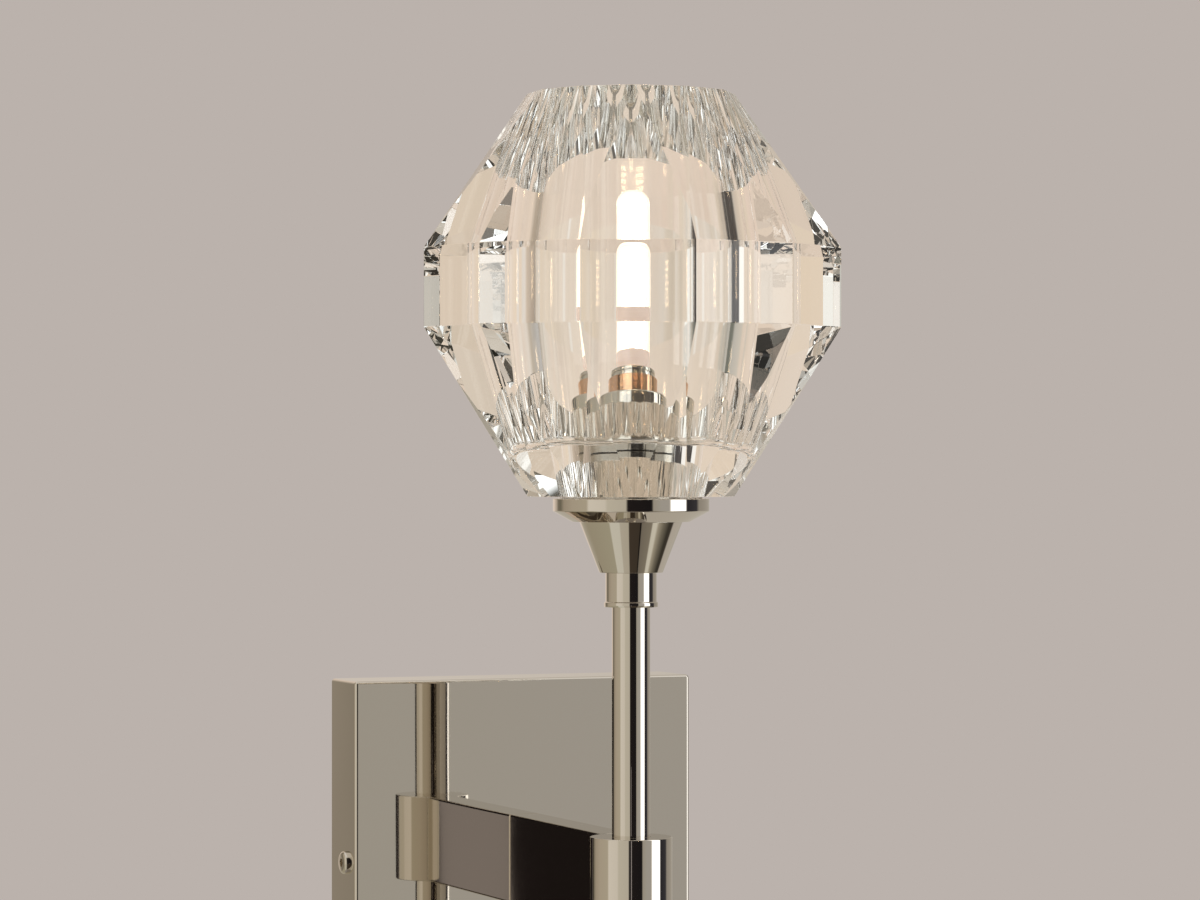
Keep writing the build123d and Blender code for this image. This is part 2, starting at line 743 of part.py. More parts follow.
chip_pitch = column_length / chip_rows
with BuildPart() as light_chips:
    for side in range(column_sides):
        angle = 360 / column_sides * (side + 0.5)
        face = level(glass_foot).rotated((0, 0, angle))
        wall = Plane(origin=face.origin + face.x_dir * column_r, x_dir=(0, 0, 1),
                     z_dir=face.x_dir)
        with BuildSketch(wall):
            for row in range(chip_rows):
                with Locations(((row + 0.5) * chip_pitch, 0)):
                    Rectangle(chip_height, chip_width)
        extrude(amount=chip_rise)
light_chips.part.label = "light_chips"
export_step(light_chips.part, "parts/light_chips.step")

# ---- leads and connectors ----------------------------------------------------------------------

# The two supply leads start in their connectors in the pan, turn forward through the
# bushing and the arm, turn up in the hub and run up the stem to the holder.
nut_y = -pan_depth / 2
nut_xs = {"live_lead": 14.0, "neutral_lead": -14.0}


def lead_path(side, nut_x):
    x = side * lead_gap
    return FilletPolyline((nut_x, nut_y, nut_height), (nut_x, nut_y, nut_height / 2),
                          (x, nut_y, 0), (x, -stem_out, 0), (x, -stem_out, holder_foot),
                          radius=[lead_bend_r, lead_root_bend_r, lead_bend_r])


with BuildPart() as live_lead:
    with BuildLine() as route:
        lead_path(1, nut_xs["live_lead"])
    with BuildSketch(Plane(origin=route.line @ 0, z_dir=route.line % 0)):
        Circle(lead_r)
    sweep(path=route.line)
live_lead.part.label = "live_lead"
export_step(live_lead.part, "parts/live_lead.step")

with BuildPart() as neutral_lead:
    with BuildLine() as route:
        lead_path(-1, nut_xs["neutral_lead"])
    with BuildSketch(Plane(origin=route.line @ 0, z_dir=route.line % 0)):
        Circle(lead_r)
    sweep(path=route.line)
neutral_lead.part.label = "neutral_lead"
export_step(neutral_lead.part, "parts/neutral_lead.step")

ground_nut_x = -30.0
head_side = ground_head_flats / 2
ground_end_y = -strap_sheet - ground_head_rise / 2
with BuildPart() as ground_lead:
    with BuildLine() as route:
        FilletPolyline((ground_nut_x, nut_y, nut_height), (ground_nut_x, nut_y, nut_height / 2),
                       (ground_at_x, ground_end_y, head_side + ground_bend_r),
                       (ground_at_x, ground_end_y, head_side),
                       radius=[ground_bend_r, ground_end_bend_r])
    with BuildSketch(Plane(origin=route.line @ 0, z_dir=route.line % 0)):
        Circle(lead_r)
    sweep(path=route.line)
ground_lead.part.label = "ground_lead"
export_step(ground_lead.part, "parts/ground_lead.step")

# Twist-on connectors at the leads' ends.
with BuildPart() as wire_connectors:
    for nut_x in (*nut_xs.values(), ground_nut_x):
        with BuildSketch(Plane(origin=(nut_x, nut_y, nut_height))):
            Circle(nut_r)
        with BuildSketch(Plane(origin=(nut_x, nut_y, nut_height + nut_length))):
            Circle(nut_tip_r)
        loft(ruled=True)
wire_connectors.part.label = "wire_connectors"
export_step(wire_connectors.part, "parts/wire_connectors.step")
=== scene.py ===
# %% [markdown]
# # A crystal wall sconce
# The real object is a square nickel-plated pan on the wall, a flat arm, a round hub
# and a slim stem that carries a heavy block of cut crystal with a bulb inside it.
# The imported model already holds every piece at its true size, so it is loaded first
# as a fixed frame. Pieces that need crisp, polished surfaces are then modelled again
# around it, because a mirror finish shows every facet of a coarse mesh.

# %% Load the frame
import bpy
from math import atan, cos, pi, radians, sin
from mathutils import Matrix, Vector


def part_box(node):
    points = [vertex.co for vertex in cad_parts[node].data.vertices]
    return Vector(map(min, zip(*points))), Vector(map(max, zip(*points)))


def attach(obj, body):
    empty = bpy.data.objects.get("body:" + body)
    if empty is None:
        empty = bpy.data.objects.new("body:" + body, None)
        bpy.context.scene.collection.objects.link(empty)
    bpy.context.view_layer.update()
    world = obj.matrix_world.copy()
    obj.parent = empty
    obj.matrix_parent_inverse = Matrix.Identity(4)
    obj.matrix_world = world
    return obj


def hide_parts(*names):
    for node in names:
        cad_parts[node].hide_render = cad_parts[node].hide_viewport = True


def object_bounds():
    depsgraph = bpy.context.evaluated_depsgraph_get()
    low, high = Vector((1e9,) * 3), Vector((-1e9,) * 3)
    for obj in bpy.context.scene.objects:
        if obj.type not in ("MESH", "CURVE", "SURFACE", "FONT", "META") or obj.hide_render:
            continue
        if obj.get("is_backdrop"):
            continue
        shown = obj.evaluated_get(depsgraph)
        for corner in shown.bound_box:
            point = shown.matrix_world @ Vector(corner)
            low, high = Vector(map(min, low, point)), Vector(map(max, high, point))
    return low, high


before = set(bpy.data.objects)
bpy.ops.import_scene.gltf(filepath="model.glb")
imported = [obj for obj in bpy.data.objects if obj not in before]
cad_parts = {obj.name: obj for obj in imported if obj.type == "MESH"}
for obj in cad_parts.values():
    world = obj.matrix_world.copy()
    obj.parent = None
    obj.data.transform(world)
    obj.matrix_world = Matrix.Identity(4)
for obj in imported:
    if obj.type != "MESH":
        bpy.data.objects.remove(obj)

cad_low, cad_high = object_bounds()
MM = 0.001
QUARTER = pi / 2
print("pieces loaded:", len(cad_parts), "height in mm:", (cad_high - cad_low).z / MM)

# %% [markdown]
# ## Measures taken from the frame
# Each new piece takes its size from the node that it replaces, so nothing has to be
# fitted afterwards. A round node's radius is half its width, and every round piece
# of the stem shares one upright axis, which the stem's own box gives.

# %% Sizes from the nodes


def low(node):
    """Lowest corner of a node, as a vector in metres."""
    return Vector(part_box(node)[0])


def high(node):
    """Highest corner of a node, as a vector in metres."""
    return Vector(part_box(node)[1])


def radius_of(node):
    """Radius of a round node, from its width."""
    return (high(node).x - low(node).x) / 2


axis_x = (low("stem").x + high("stem").x) / 2
axis_y = (low("stem").y + high("stem").y) / 2
print("stem axis at", round(axis_x, 4), round(axis_y, 4), "radius", round(radius_of("stem"), 5))

# %% [markdown]
# ## Camera
# The photograph is taken from the left of the sconce with a long lens, almost level
# with the middle of the shade. The camera is placed by its distance from the stem and
# by the two small angles that put the stem right of the picture's middle.

# %% Camera at the photograph's place
IMAGE_WIDTH = 1200
IMAGE_HEIGHT = 900
STEM_PIXEL_X = 631
HORIZON_PIXEL_Y = 465
PIXELS_PER_METRE = 3246.6
CAMERA_DISTANCE = 1.25
CAMERA_TURN = radians(23.2)
SENSOR_MM = 36
HUB_TOP_PIXEL_Y = 836.4
NEAREST_SEEN = 0.05

focal_pixels = PIXELS_PER_METRE * CAMERA_DISTANCE
yaw = CAMERA_TURN - atan((STEM_PIXEL_X - IMAGE_WIDTH / 2) / focal_pixels)
pitch = atan((HORIZON_PIXEL_Y - IMAGE_HEIGHT / 2) / focal_pixels)
camera_height = high("hub").z + (HUB_TOP_PIXEL_Y - HORIZON_PIXEL_Y) / PIXELS_PER_METRE

camera_data = bpy.data.cameras.new("photo_camera")
camera_data.sensor_width = SENSOR_MM
camera_data.lens = SENSOR_MM * focal_pixels / IMAGE_WIDTH
camera_data.clip_start = NEAREST_SEEN
camera = bpy.data.objects.new("photo_camera", camera_data)
bpy.context.scene.collection.objects.link(camera)
camera.location = (axis_x - sin(CAMERA_TURN) * CAMERA_DISTANCE,
                   axis_y - cos(CAMERA_TURN) * CAMERA_DISTANCE, camera_height)
looking = Vector((sin(yaw) * cos(pitch), cos(yaw) * cos(pitch), sin(pitch)))
camera.rotation_euler = looking.to_track_quat("-Z", "Y").to_euler()
bpy.context.scene.camera = camera
print("lens in mm:", round(camera_data.lens, 1), "height:", round(camera_height, 4))

# %% [markdown]
# ## Shader maths as Python
# A material is a graph of nodes. Writing each sum as a node by hand is slow, so a
# small class wraps a socket and overloads + - * /, which adds a Math node for each.
# One method adds any other node: its settings first, then the values of its sockets.

# %% A small shader-writing class


class Value:
    """A shader socket that can be used in Python sums."""

    def __init__(self, graph, socket):
        self.graph = graph
        self.socket = socket

    def maths(self, operation, first, second):
        return self.graph.add("ShaderNodeMath", {"operation": operation}, {0: first, 1: second})

    def __add__(self, other):
        return self.maths("ADD", self, other)

    def __sub__(self, other):
        return self.maths("SUBTRACT", self, other)

    def __rsub__(self, other):
        return self.maths("SUBTRACT", other, self)

    def __mul__(self, other):
        return self.maths("MULTIPLY", self, other)

    def __truediv__(self, other):
        return self.maths("DIVIDE", self, other)


class Graph:
    """The nodes of one material or of the world."""

    def __init__(self, owner):
        owner.use_nodes = True
        self.tree = owner.node_tree
        self.tree.nodes.clear()

    def add(self, kind, settings=None, inputs=None, out=0):
        """Adds a node. A ramp's stops are (place, colour) pairs."""
        made = self.tree.nodes.new(kind)
        for name, value in (settings or {}).items():
            if name == "stops":
                ramp = made.color_ramp
                while len(ramp.elements) > 1:
                    ramp.elements.remove(ramp.elements[0])
                ramp.elements[0].position = value[0][0]
                ramp.elements[0].color = (*value[0][1], 1)
                for place, colour in value[1:]:
                    ramp.elements.new(place).color = (*colour, 1)
            else:
                setattr(made, name, value)
        for name, value in (inputs or {}).items():
            if isinstance(value, Value):
                self.tree.links.new(value.socket, made.inputs[name])
            elif isinstance(value, tuple) and len(value) == 3 and made.inputs[name].type == "RGBA":
                made.inputs[name].default_value = (*value, 1)
            else:
                made.inputs[name].default_value = value
        return Value(self, made.outputs[out]) if made.outputs else None


def new_material(name):
    """An empty material and its graph."""
    material = bpy.data.materials.new(name)
    return material, Graph(material)


def show(graph, shader):
    """Sends a shader to the material's output."""
    graph.add("ShaderNodeOutputMaterial", inputs={"Surface": shader})


print("shader sums ready: + - * / each add a Math node")

# %% [markdown]
# ## Studio
# Polished metal and crystal have no look of their own: they show the room. In the
# photograph the stem shows, from left to right, a beige wall, a dark room behind the
# camera, one tall white softbox and the wall again. That room is painted on the world
# by compass direction, in levels from the ground up. A direction is an angle in degrees
# from the front of the sconce, positive to the viewer's right.

# %% The room in polished metal, by compass direction
ROOM_LOW = (
    (-180, (0.50, 0.46, 0.38)),
    (-150, (0.40, 0.36, 0.27)),
    (-82, (0.44, 0.41, 0.31)),
    (-79, (0.70, 0.68, 0.60)),
    (-55, (0.69, 0.67, 0.59)),
    (-52, (0.55, 0.51, 0.43)),
    (-30, (0.52, 0.48, 0.40)),
    (-28, (0.064, 0.049, 0.036)),
    (1, (0.058, 0.045, 0.033)),
    (2, (0.008, 0.007, 0.007)),
    (5, (0.008, 0.007, 0.007)),
    (6, (0.21, 0.185, 0.15)),
    (33, (0.27, 0.24, 0.19)),
    (36, (0.72, 0.69, 0.60)),
    (46, (0.74, 0.71, 0.62)),
    (52, (0.42, 0.38, 0.30)),
    (66, (0.20, 0.18, 0.14)),
    (84, (0.05, 0.045, 0.035)),
    (94, (0.06, 0.05, 0.04)),
    (99, (0.54, 0.50, 0.45)),
    (180, (0.50, 0.46, 0.38)),
)
ROOM_LEVEL = (
    (-180, (0.86, 0.72, 0.62)),
    (-165, (0.52, 0.45, 0.37)),
    (-159, (0.23, 0.20, 0.155)),
    (-150, (0.19, 0.17, 0.125)),
    (-140, (0.42, 0.36, 0.28)),
    (-120, (0.50, 0.44, 0.35)),
    (-92, (0.52, 0.47, 0.37)),
    (-88, (0.80, 0.75, 0.67)),
    (-62, (0.76, 0.71, 0.63)),
    (-58, (0.64, 0.60, 0.51)),
    (-31, (0.60, 0.56, 0.48)),
    (-28, (0.018, 0.014, 0.014)),
    (8, (0.014, 0.012, 0.013)),
    (10, (0.42, 0.39, 0.34)),
    (19.5, (0.45, 0.43, 0.39)),
    (22.5, (0.455, 0.435, 0.405)),
    (36, (0.46, 0.44, 0.41)),
    (39, (2.2, 2.2, 2.2)),
    (64, (2.2, 2.2, 2.2)),
    (67, (0.030, 0.028, 0.034)),
    (90, (0.05, 0.048, 0.055)),
    (97, (0.36, 0.33, 0.29)),
    (150, (0.48, 0.44, 0.38)),
    (165, (0.70, 0.62, 0.54)),
    (180, (0.86, 0.72, 0.62)),
)
GROUND = ((0, (0.30, 0.27, 0.24)),)
CEILING = ((0, (0.80, 0.77, 0.73)),)
print("directions painted for metal:", len(ROOM_LOW), "low and", len(ROOM_LEVEL), "level")

# %% [markdown]
# ### The room through crystal
# Light that has come through the crystal has been bent, so a facet often shows what
# lies beside or behind the sconce: the wall, painted peach for the bulb's warm light
# on it, bright softboxes and dark gaps between them. These levels are painted apart
# from the metal's, so that either can be changed without spoiling the other.

# %% The lower levels through crystal
THROUGH_LOW = (
    (-180, (0.78, 0.63, 0.51)),
    (-140, (0.76, 0.61, 0.48)),
    (-130, (0.45, 0.36, 0.27)),
    (-118, (0.38, 0.30, 0.22)),
    (-106, (0.55, 0.45, 0.35)),
    (-95, (0.73, 0.58, 0.44)),
    (-60, (0.66, 0.58, 0.48)),
    (-31, (0.55, 0.48, 0.40)),
    (-28, (0.06, 0.05, 0.04)),
    (8, (0.06, 0.05, 0.04)),
    (12, (0.42, 0.38, 0.32)),
    (41, (0.50, 0.46, 0.40)),
    (44, (1.4, 1.4, 1.35)),
    (61, (1.4, 1.4, 1.35)),
    (65, (0.045, 0.032, 0.026)),
    (92, (0.07, 0.06, 0.05)),
    (97, (0.55, 0.47, 0.38)),
    (106, (0.64, 0.52, 0.41)),
    (119, (0.77, 0.63, 0.49)),
    (135, (0.79, 0.62, 0.50)),
    (180, (0.78, 0.63, 0.51)),
)
THROUGH_LEVEL = (
    (-180, (0.80, 0.66, 0.53)),
    (-163, (0.82, 0.66, 0.50)),
    (-158, (0.78, 0.70, 0.62)),
    (-148, (0.78, 0.69, 0.60)),
    (-141, (0.60, 0.48, 0.37)),
    (-124, (0.42, 0.33, 0.25)),
    (-110, (0.34, 0.28, 0.21)),
    (-92, (0.50, 0.45, 0.38)),
    (-75, (0.60, 0.58, 0.53)),
    (-31, (0.56, 0.52, 0.46)),
    (-28, (0.022, 0.019, 0.018)),
    (8, (0.022, 0.019, 0.018)),
    (10, (0.42, 0.39, 0.34)),
    (36, (0.50, 0.48, 0.44)),
    (40, (0.80, 0.78, 0.72)),
    (48, (1.3, 1.28, 1.2)),
    (62, (1.2, 1.18, 1.1)),
    (66, (0.045, 0.04, 0.04)),
    (90.5, (0.045, 0.04, 0.04)),
    (93, (1.0, 0.95, 0.88)),
    (108, (1.0, 0.95, 0.88)),
    (110, (0.74, 0.60, 0.47)),
    (122, (0.75, 0.61, 0.48)),
    (124, (0.68, 0.56, 0.44)),
    (130, (0.68, 0.56, 0.44)),
    (134, (0.72, 0.60, 0.48)),
    (138, (0.77, 0.66, 0.56)),
    (155, (0.80, 0.66, 0.54)),
    (157, (0.95, 0.87, 0.79)),
    (160, (0.80, 0.66, 0.54)),
    (180, (0.80, 0.66, 0.53)),
)
print("directions painted low:", len(THROUGH_LOW), "and level:", len(THROUGH_LEVEL))

# %% The upper levels through crystal
THROUGH_HIGH = (
    (-180, (0.82, 0.67, 0.55)),
    (-152, (0.80, 0.70, 0.60)),
    (-140, (0.50, 0.42, 0.33)),
    (-121, (0.48, 0.44, 0.40)),
    (-94, (0.52, 0.49, 0.46)),
    (-92, (0.02, 0.02, 0.02)),
    (-73, (0.02, 0.02, 0.02)),
    (-71, (1.1, 1.12, 1.1)),
    (-31, (1.7, 1.75, 1.75)),
    (-28, (0.05, 0.055, 0.07)),
    (8, (0.09, 0.08, 0.07)),
    (12, (0.30, 0.27, 0.23)),
    (38, (0.30, 0.28, 0.25)),
    (42, (2.2, 2.25, 2.25)),
    (56, (2.2, 2.25, 2.25)),
    (60, (0.17, 0.17, 0.14)),
    (80, (0.17, 0.17, 0.14)),
    (86, (0.50, 0.46, 0.40)),
    (104, (0.58, 0.52, 0.44)),
    (111, (0.62, 0.55, 0.46)),
    (116, (0.74, 0.61, 0.49)),
    (122, (0.77, 0.63, 0.51)),
    (150, (0.82, 0.67, 0.54)),
    (180, (0.82, 0.67, 0.55)),
)
THROUGH_TOP = (
    (-180, (0.80, 0.66, 0.54)),
    (-160, (0.80, 0.66, 0.54)),
    (-158, (0.02, 0.02, 0.02)),
    (-140, (0.02, 0.02, 0.02)),
    (-137, (0.45, 0.40, 0.32)),
    (-93, (0.50, 0.47, 0.40)),
    (-66, (0.52, 0.49, 0.42)),
    (-62, (1.4, 1.42, 1.4)),
    (-34, (1.4, 1.42, 1.4)),
    (-28, (0.05, 0.045, 0.035)),
    (40, (0.06, 0.05, 0.045)),
    (44, (2.0, 2.0, 1.95)),
    (62, (2.0, 2.0, 1.95)),
    (66, (0.07, 0.06, 0.05)),
    (78, (0.07, 0.06, 0.05)),
    (84, (0.45, 0.40, 0.32)),
    (110, (0.66, 0.56, 0.45)),
    (130, (0.80, 0.66, 0.54)),
    (180, (0.80, 0.66, 0.54)),
)
THROUGH_GROUND = ((0, (0.78, 0.64, 0.52)),)
THROUGH_CEILING = (
    (-180, (0.70, 0.58, 0.47)),
    (-120, (0.62, 0.52, 0.42)),
    (-62, (0.60, 0.52, 0.44)),
    (-58, (1.2, 1.18, 1.1)),
    (-36, (1.2, 1.18, 1.1)),
    (-30, (0.14, 0.12, 0.09)),
    (18, (0.14, 0.12, 0.09)),
    (36, (0.50, 0.45, 0.38)),
    (42, (1.15, 1.12, 1.05)),
    (78, (1.15, 1.12, 1.05)),
    (86, (0.30, 0.26, 0.20)),
    (104, (0.40, 0.34, 0.27)),
    (140, (0.68, 0.57, 0.46)),
    (180, (0.70, 0.58, 0.47)),
)
print("directions painted high:", len(THROUGH_HIGH), "top:", len(THROUGH_TOP),
      "ceiling:", len(THROUGH_CEILING))

# %% [markdown]
# ### The world
# Each level is a colour ramp read by compass direction. A level takes over from the
# one below it between two heights, given as the sine of the angle above the horizon.
# The camera itself sees a plain pale backdrop, and matt surfaces get one even light.

# %% Levels and their heights
METAL_LEVELS = (
    (0, 0, GROUND),
    (-0.92, -0.85, ROOM_LOW),
    (-0.22, -0.12, ROOM_LEVEL),
    (0.72, 0.86, CEILING),
)
CRYSTAL_LEVELS = (
    (0, 0, THROUGH_GROUND),
    (-0.92, -0.85, THROUGH_LOW),
    (-0.14, -0.09, THROUGH_LEVEL),
    (0.11, 0.16, THROUGH_HIGH),
    (0.305, 0.34, THROUGH_TOP),
    (0.47, 0.56, THROUGH_CEILING),
)
print("levels for metal:", len(METAL_LEVELS), "and for crystal:", len(CRYSTAL_LEVELS))

# %% Direction of each ray
world = bpy.data.worlds.new("studio")
bpy.context.scene.world = world
sky = Graph(world)
direction = sky.add("ShaderNodeTexCoord", out="Generated")
axes = sky.add("ShaderNodeSeparateXYZ", inputs={"Vector": direction}).socket.node.outputs
east, north, up = (Value(sky, axis) for axis in axes)
compass = sky.add("ShaderNodeMath", {"operation": "ARCTAN2"}, {0: east, 1: 0 - north})
turn = compass / (2 * pi) + 0.5
print("nodes that work out a ray's direction:", len(sky.tree.nodes))

# %% From levels to colours


def blend(share, first, second):
    """Mixes two colours of the world."""
    return sky.add("ShaderNodeMix", {"data_type": "RGBA"},
                   {"Factor": share, 6: first, 7: second}, out=2)


def painted(levels):
    """The room's colour for one kind of ray, from its levels."""
    colour = None
    for start, end, stops in levels:
        ramp = sky.add("ShaderNodeValToRGB", {
            "stops": [((angle + 180) / 360, paint) for angle, paint in stops]}, {"Fac": turn})
        if colour is None:
            colour = ramp
            continue
        share = sky.add("ShaderNodeMapRange", {"interpolation_type": "SMOOTHSTEP"},
                        {"Value": up, "From Min": start, "From Max": end})
        colour = blend(share, colour, ramp)
    return colour


metal_room = painted(METAL_LEVELS)
crystal_room = painted(CRYSTAL_LEVELS)
print("nodes of the painted room:", len(sky.tree.nodes))

# %% What each kind of ray sees
BACKDROP = (0.497, 0.445, 0.413)
SOFT_FILL = (0.78, 0.76, 0.74)
path = sky.add("ShaderNodeLightPath").socket.node.outputs
shiny = blend(Value(sky, path["Is Glossy Ray"]), (*SOFT_FILL, 1), metal_room)
clear = blend(Value(sky, path["Is Transmission Ray"]), shiny, crystal_room)
final_sky = blend(Value(sky, path["Is Camera Ray"]), clear, (*BACKDROP, 1))
glow = sky.add("ShaderNodeBackground", inputs={"Color": final_sky, "Strength": 1.0})
sky.add("ShaderNodeOutputWorld", inputs={"Surface": glow})
bpy.context.scene.view_settings.view_transform = "Standard"
print("world ready:", world.name)

# %% [markdown]
# ## Floor
# A round pale floor lies well below the sconce, so that it catches a shadow in the
# views from above and stays out of the photograph's own framing. Polished pieces and
# the crystal show the painted room in its place.

# %% Floor
FLOOR_DROP = 0.30
FLOOR_RADIUS = 1.4
FLOOR_SIDES = 96
FLOOR_COLOUR = (0.62, 0.58, 0.55)
bpy.ops.mesh.primitive_circle_add(vertices=FLOOR_SIDES, radius=FLOOR_RADIUS, fill_type="NGON",
                                  location=(axis_x, axis_y, cad_low.z - FLOOR_DROP))
floor = bpy.context.object
floor.name = "floor"
floor_material, graph = new_material("pale_floor")
show(graph, graph.add("ShaderNodeBsdfPrincipled", inputs={
    "Base Color": FLOOR_COLOUR, "Roughness": 0.8}))
floor.data.materials.append(floor_material)
floor.visible_glossy = False
floor.visible_transmission = False
floor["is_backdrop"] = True
print("floor radius:", FLOOR_RADIUS, "at height", round(floor.location.z, 3))

# %% [markdown]
# ### Grey card
# The corner between plate and arm throws light straight back at the camera. In the
# photograph the arm's mirror image is grey there, and the arm itself is black. A narrow
# card stands below the lens and a little behind it, and only mirrors see it.

# %% Grey card
CARD_WIDTH = 0.055
CARD_HEIGHT = 0.14
CARD_LEFT_OF_LENS = 0.021
CARD_BEHIND_LENS = 0.05
CARD_MIDDLE_HEIGHT = -0.13
CARD_GREY = (0.33, 0.30, 0.30)
bpy.ops.mesh.primitive_plane_add(size=1, rotation=(QUARTER, 0, 0), location=(
    camera.location.x + CARD_WIDTH / 2 - CARD_LEFT_OF_LENS,
    camera.location.y - CARD_BEHIND_LENS, CARD_MIDDLE_HEIGHT))
card = bpy.context.object
card.name = "grey_card"
card.scale = (CARD_WIDTH, CARD_HEIGHT, 1.0)
card_material, graph = new_material("card_grey")
show(graph, graph.add("ShaderNodeBsdfPrincipled", inputs={
    "Base Color": (0.0, 0.0, 0.0), "Roughness": 1.0,
    "Emission Color": CARD_GREY, "Emission Strength": 1.0}))
card.data.materials.append(card_material)
card.visible_camera = False
card.visible_diffuse = False
card.visible_transmission = False
card.visible_shadow = False
card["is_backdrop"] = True
print("card's top lies below the lens by",
      round(camera.location.z - CARD_MIDDLE_HEIGHT - CARD_HEIGHT / 2, 3))

# %% [markdown]
# ### Soft light
# Two large area lights, one to the left and one to the right, give matt pieces their
# modelling. Mirrors and glass do not show them, because they already show the
# softboxes that are painted on the world.

# %% Area lights
LIT_HEIGHT = 0.1
SOFTBOXES = (
    ("softbox_right", (1.1, -1.5, 0.9), 0.9, 9.0),
    ("softbox_left", (-1.4, -1.1, 0.7), 1.2, 6.0),
)
for name, place, width, power in SOFTBOXES:
    lamp = bpy.data.lights.new(name, "AREA")
    lamp.size = width
    lamp.energy = power
    light = bpy.data.objects.new(name, lamp)
    bpy.context.scene.collection.objects.link(light)
    light.location = place
    towards = Vector((axis_x, axis_y, LIT_HEIGHT)) - Vector(place)
    light.rotation_euler = towards.to_track_quat("-Z", "Y").to_euler()
    light.visible_glossy = False
    light.visible_transmission = False
    light.visible_camera = False
print("area lights:", len(SOFTBOXES))

# %% [markdown]
# ## Metal finishes
# Polished nickel is a warm grey mirror. It is never perfect: a faint film of
# fingerprints changes how sharp it is from place to place, and thin pressed sheet
# waves a little, which bends the reflection of the stem in the backplate. The wave
# is a slow noise sent through a Bump node, in metres, so its slope is real.

# %% Polished nickel
NICKEL = (0.70, 0.655, 0.585)
# The copper tone below is painted: it stands for the bulb's warm light reflected in the nickel
# sleeve.
SLEEVE_WARM_REFLECTION = (0.76, 0.47, 0.29)
WAVE_HEIGHT = 0.12 * MM
WAVE_SCALE = 14.0


def mirror_metal(name, colour, roughness=0.015, smudge=0.02, wave=0.0):
    """Mirror-polished metal with a film of smudges and, on sheet, a slow wave."""
    material, graph = new_material(name)
    place = graph.add("ShaderNodeTexCoord", out="Object")
    film = graph.add("ShaderNodeTexNoise", None,
                     {"Vector": place, "Scale": 45.0, "Detail": 5.0, "Roughness": 0.6})
    shader_inputs = {"Base Color": colour, "Metallic": 1.0, "Roughness": film * smudge + roughness}
    if wave:
        swell = graph.add("ShaderNodeTexNoise", None,
                          {"Vector": place, "Scale": WAVE_SCALE, "Detail": 1.0})
        shader_inputs["Normal"] = graph.add("ShaderNodeBump", None, {
            "Strength": 1.0, "Distance": wave, "Height": swell})
    show(graph, graph.add("ShaderNodeBsdfPrincipled", inputs=shader_inputs))
    return material


nickel = mirror_metal("polished_nickel", NICKEL)
nickel_sheet = mirror_metal("polished_nickel_sheet", NICKEL, wave=WAVE_HEIGHT)
# The sleeve's copper tone is a painted warm reflection of the bulb's light.
sleeve_reflection_metal = mirror_metal("copper_sleeve", SLEEVE_WARM_REFLECTION, roughness=0.12)
print("mirror metals:", nickel.name, nickel_sheet.name, sleeve_reflection_metal.name)

# %% [markdown]
# ### Plain metals
# The bracket, the clamp nut and most hidden screws are zinc plated, and the block that
# holds the arm is bare brass. An image could carry their wear, but two noises need no
# file: a slow one for blotches in tone and roughness, a fine one for grain, as a bump.

# %% Plain metals behind the pan
GRAIN_HEIGHT = 0.05 * MM
DARKER_BLOTCH = 0.85


def plain_metal(name, colour, roughness):
    """Zinc plate or machined metal: soft blotches in roughness and a fine grain."""
    material, graph = new_material(name)
    place = graph.add("ShaderNodeTexCoord", out="Object")
    blotch = graph.add("ShaderNodeTexNoise", None, {"Vector": place, "Scale": 90.0, "Detail": 6.0})
    grain = graph.add("ShaderNodeTexNoise", None, {"Vector": place, "Scale": 1500.0})
    bump = graph.add("ShaderNodeBump", None, {
        "Strength": 0.25, "Distance": GRAIN_HEIGHT, "Height": grain})
    tone = graph.add("ShaderNodeMix", {"data_type": "RGBA"}, {
        "Factor": blotch, 6: (*[c * DARKER_BLOTCH for c in colour], 1), 7: (*colour, 1)}, out=2)
    show(graph, graph.add("ShaderNodeBsdfPrincipled", inputs={
        "Base Color": tone, "Metallic": 1.0, "Roughness": blotch * 0.25 + roughness, "Normal": bump}))
    return material


zinc = plain_metal("zinc_plate", (0.62, 0.64, 0.66), 0.22)
brass = plain_metal("machined_brass", (0.75, 0.58, 0.30), 0.2)
wire_metal = plain_metal("nickel_iron_wire", (0.66, 0.64, 0.60), 0.18)
print("plain metals:", zinc.name, brass.name, wire_metal.name)

# %% [markdown]
# ## Crystal and glass
# Cut crystal is clear glass with a high refractive index. The look comes from its
# shape: rays that enter a facet are thrown about inside and leave somewhere else. The
# material stays simple. A noise gives capsule and gaskets a breath of haze. For the
# crystal that haze is zero, because its facets are polished clear.

# %% Crystal, capsule and clear gasket


def light_up(shader_inputs, shine):
    """Adds a glow to a shader's inputs. shine is a colour and a strength."""
    shader_inputs["Emission Color"], shader_inputs["Emission Strength"] = shine


def clear_glass(name, colour, ior, haze, shine=None):
    """Clear glass. A lit capsule also gets a shine."""
    material, graph = new_material(name)
    place = graph.add("ShaderNodeTexCoord", out="Object")
    breath = graph.add("ShaderNodeTexNoise", None, {"Vector": place, "Scale": 30.0, "Detail": 3.0})
    shader_inputs = {"Base Color": colour, "Roughness": breath * haze, "IOR": ior,
                     "Transmission Weight": 1.0}
    if shine:
        light_up(shader_inputs, shine)
    show(graph, graph.add("ShaderNodeBsdfPrincipled", inputs=shader_inputs))
    return material


crystal = clear_glass("cut_crystal", (0.985, 0.995, 0.99), 1.52, 0.0)
capsule = clear_glass("lit_capsule", (1.0, 0.99, 0.97), 1.45, 0.03, ((1.0, 0.78, 0.56), 0.3))
silicone = clear_glass("clear_silicone", (0.97, 0.97, 0.96), 1.41, 0.25)
print("clear materials:", crystal.name, capsule.name, silicone.name)

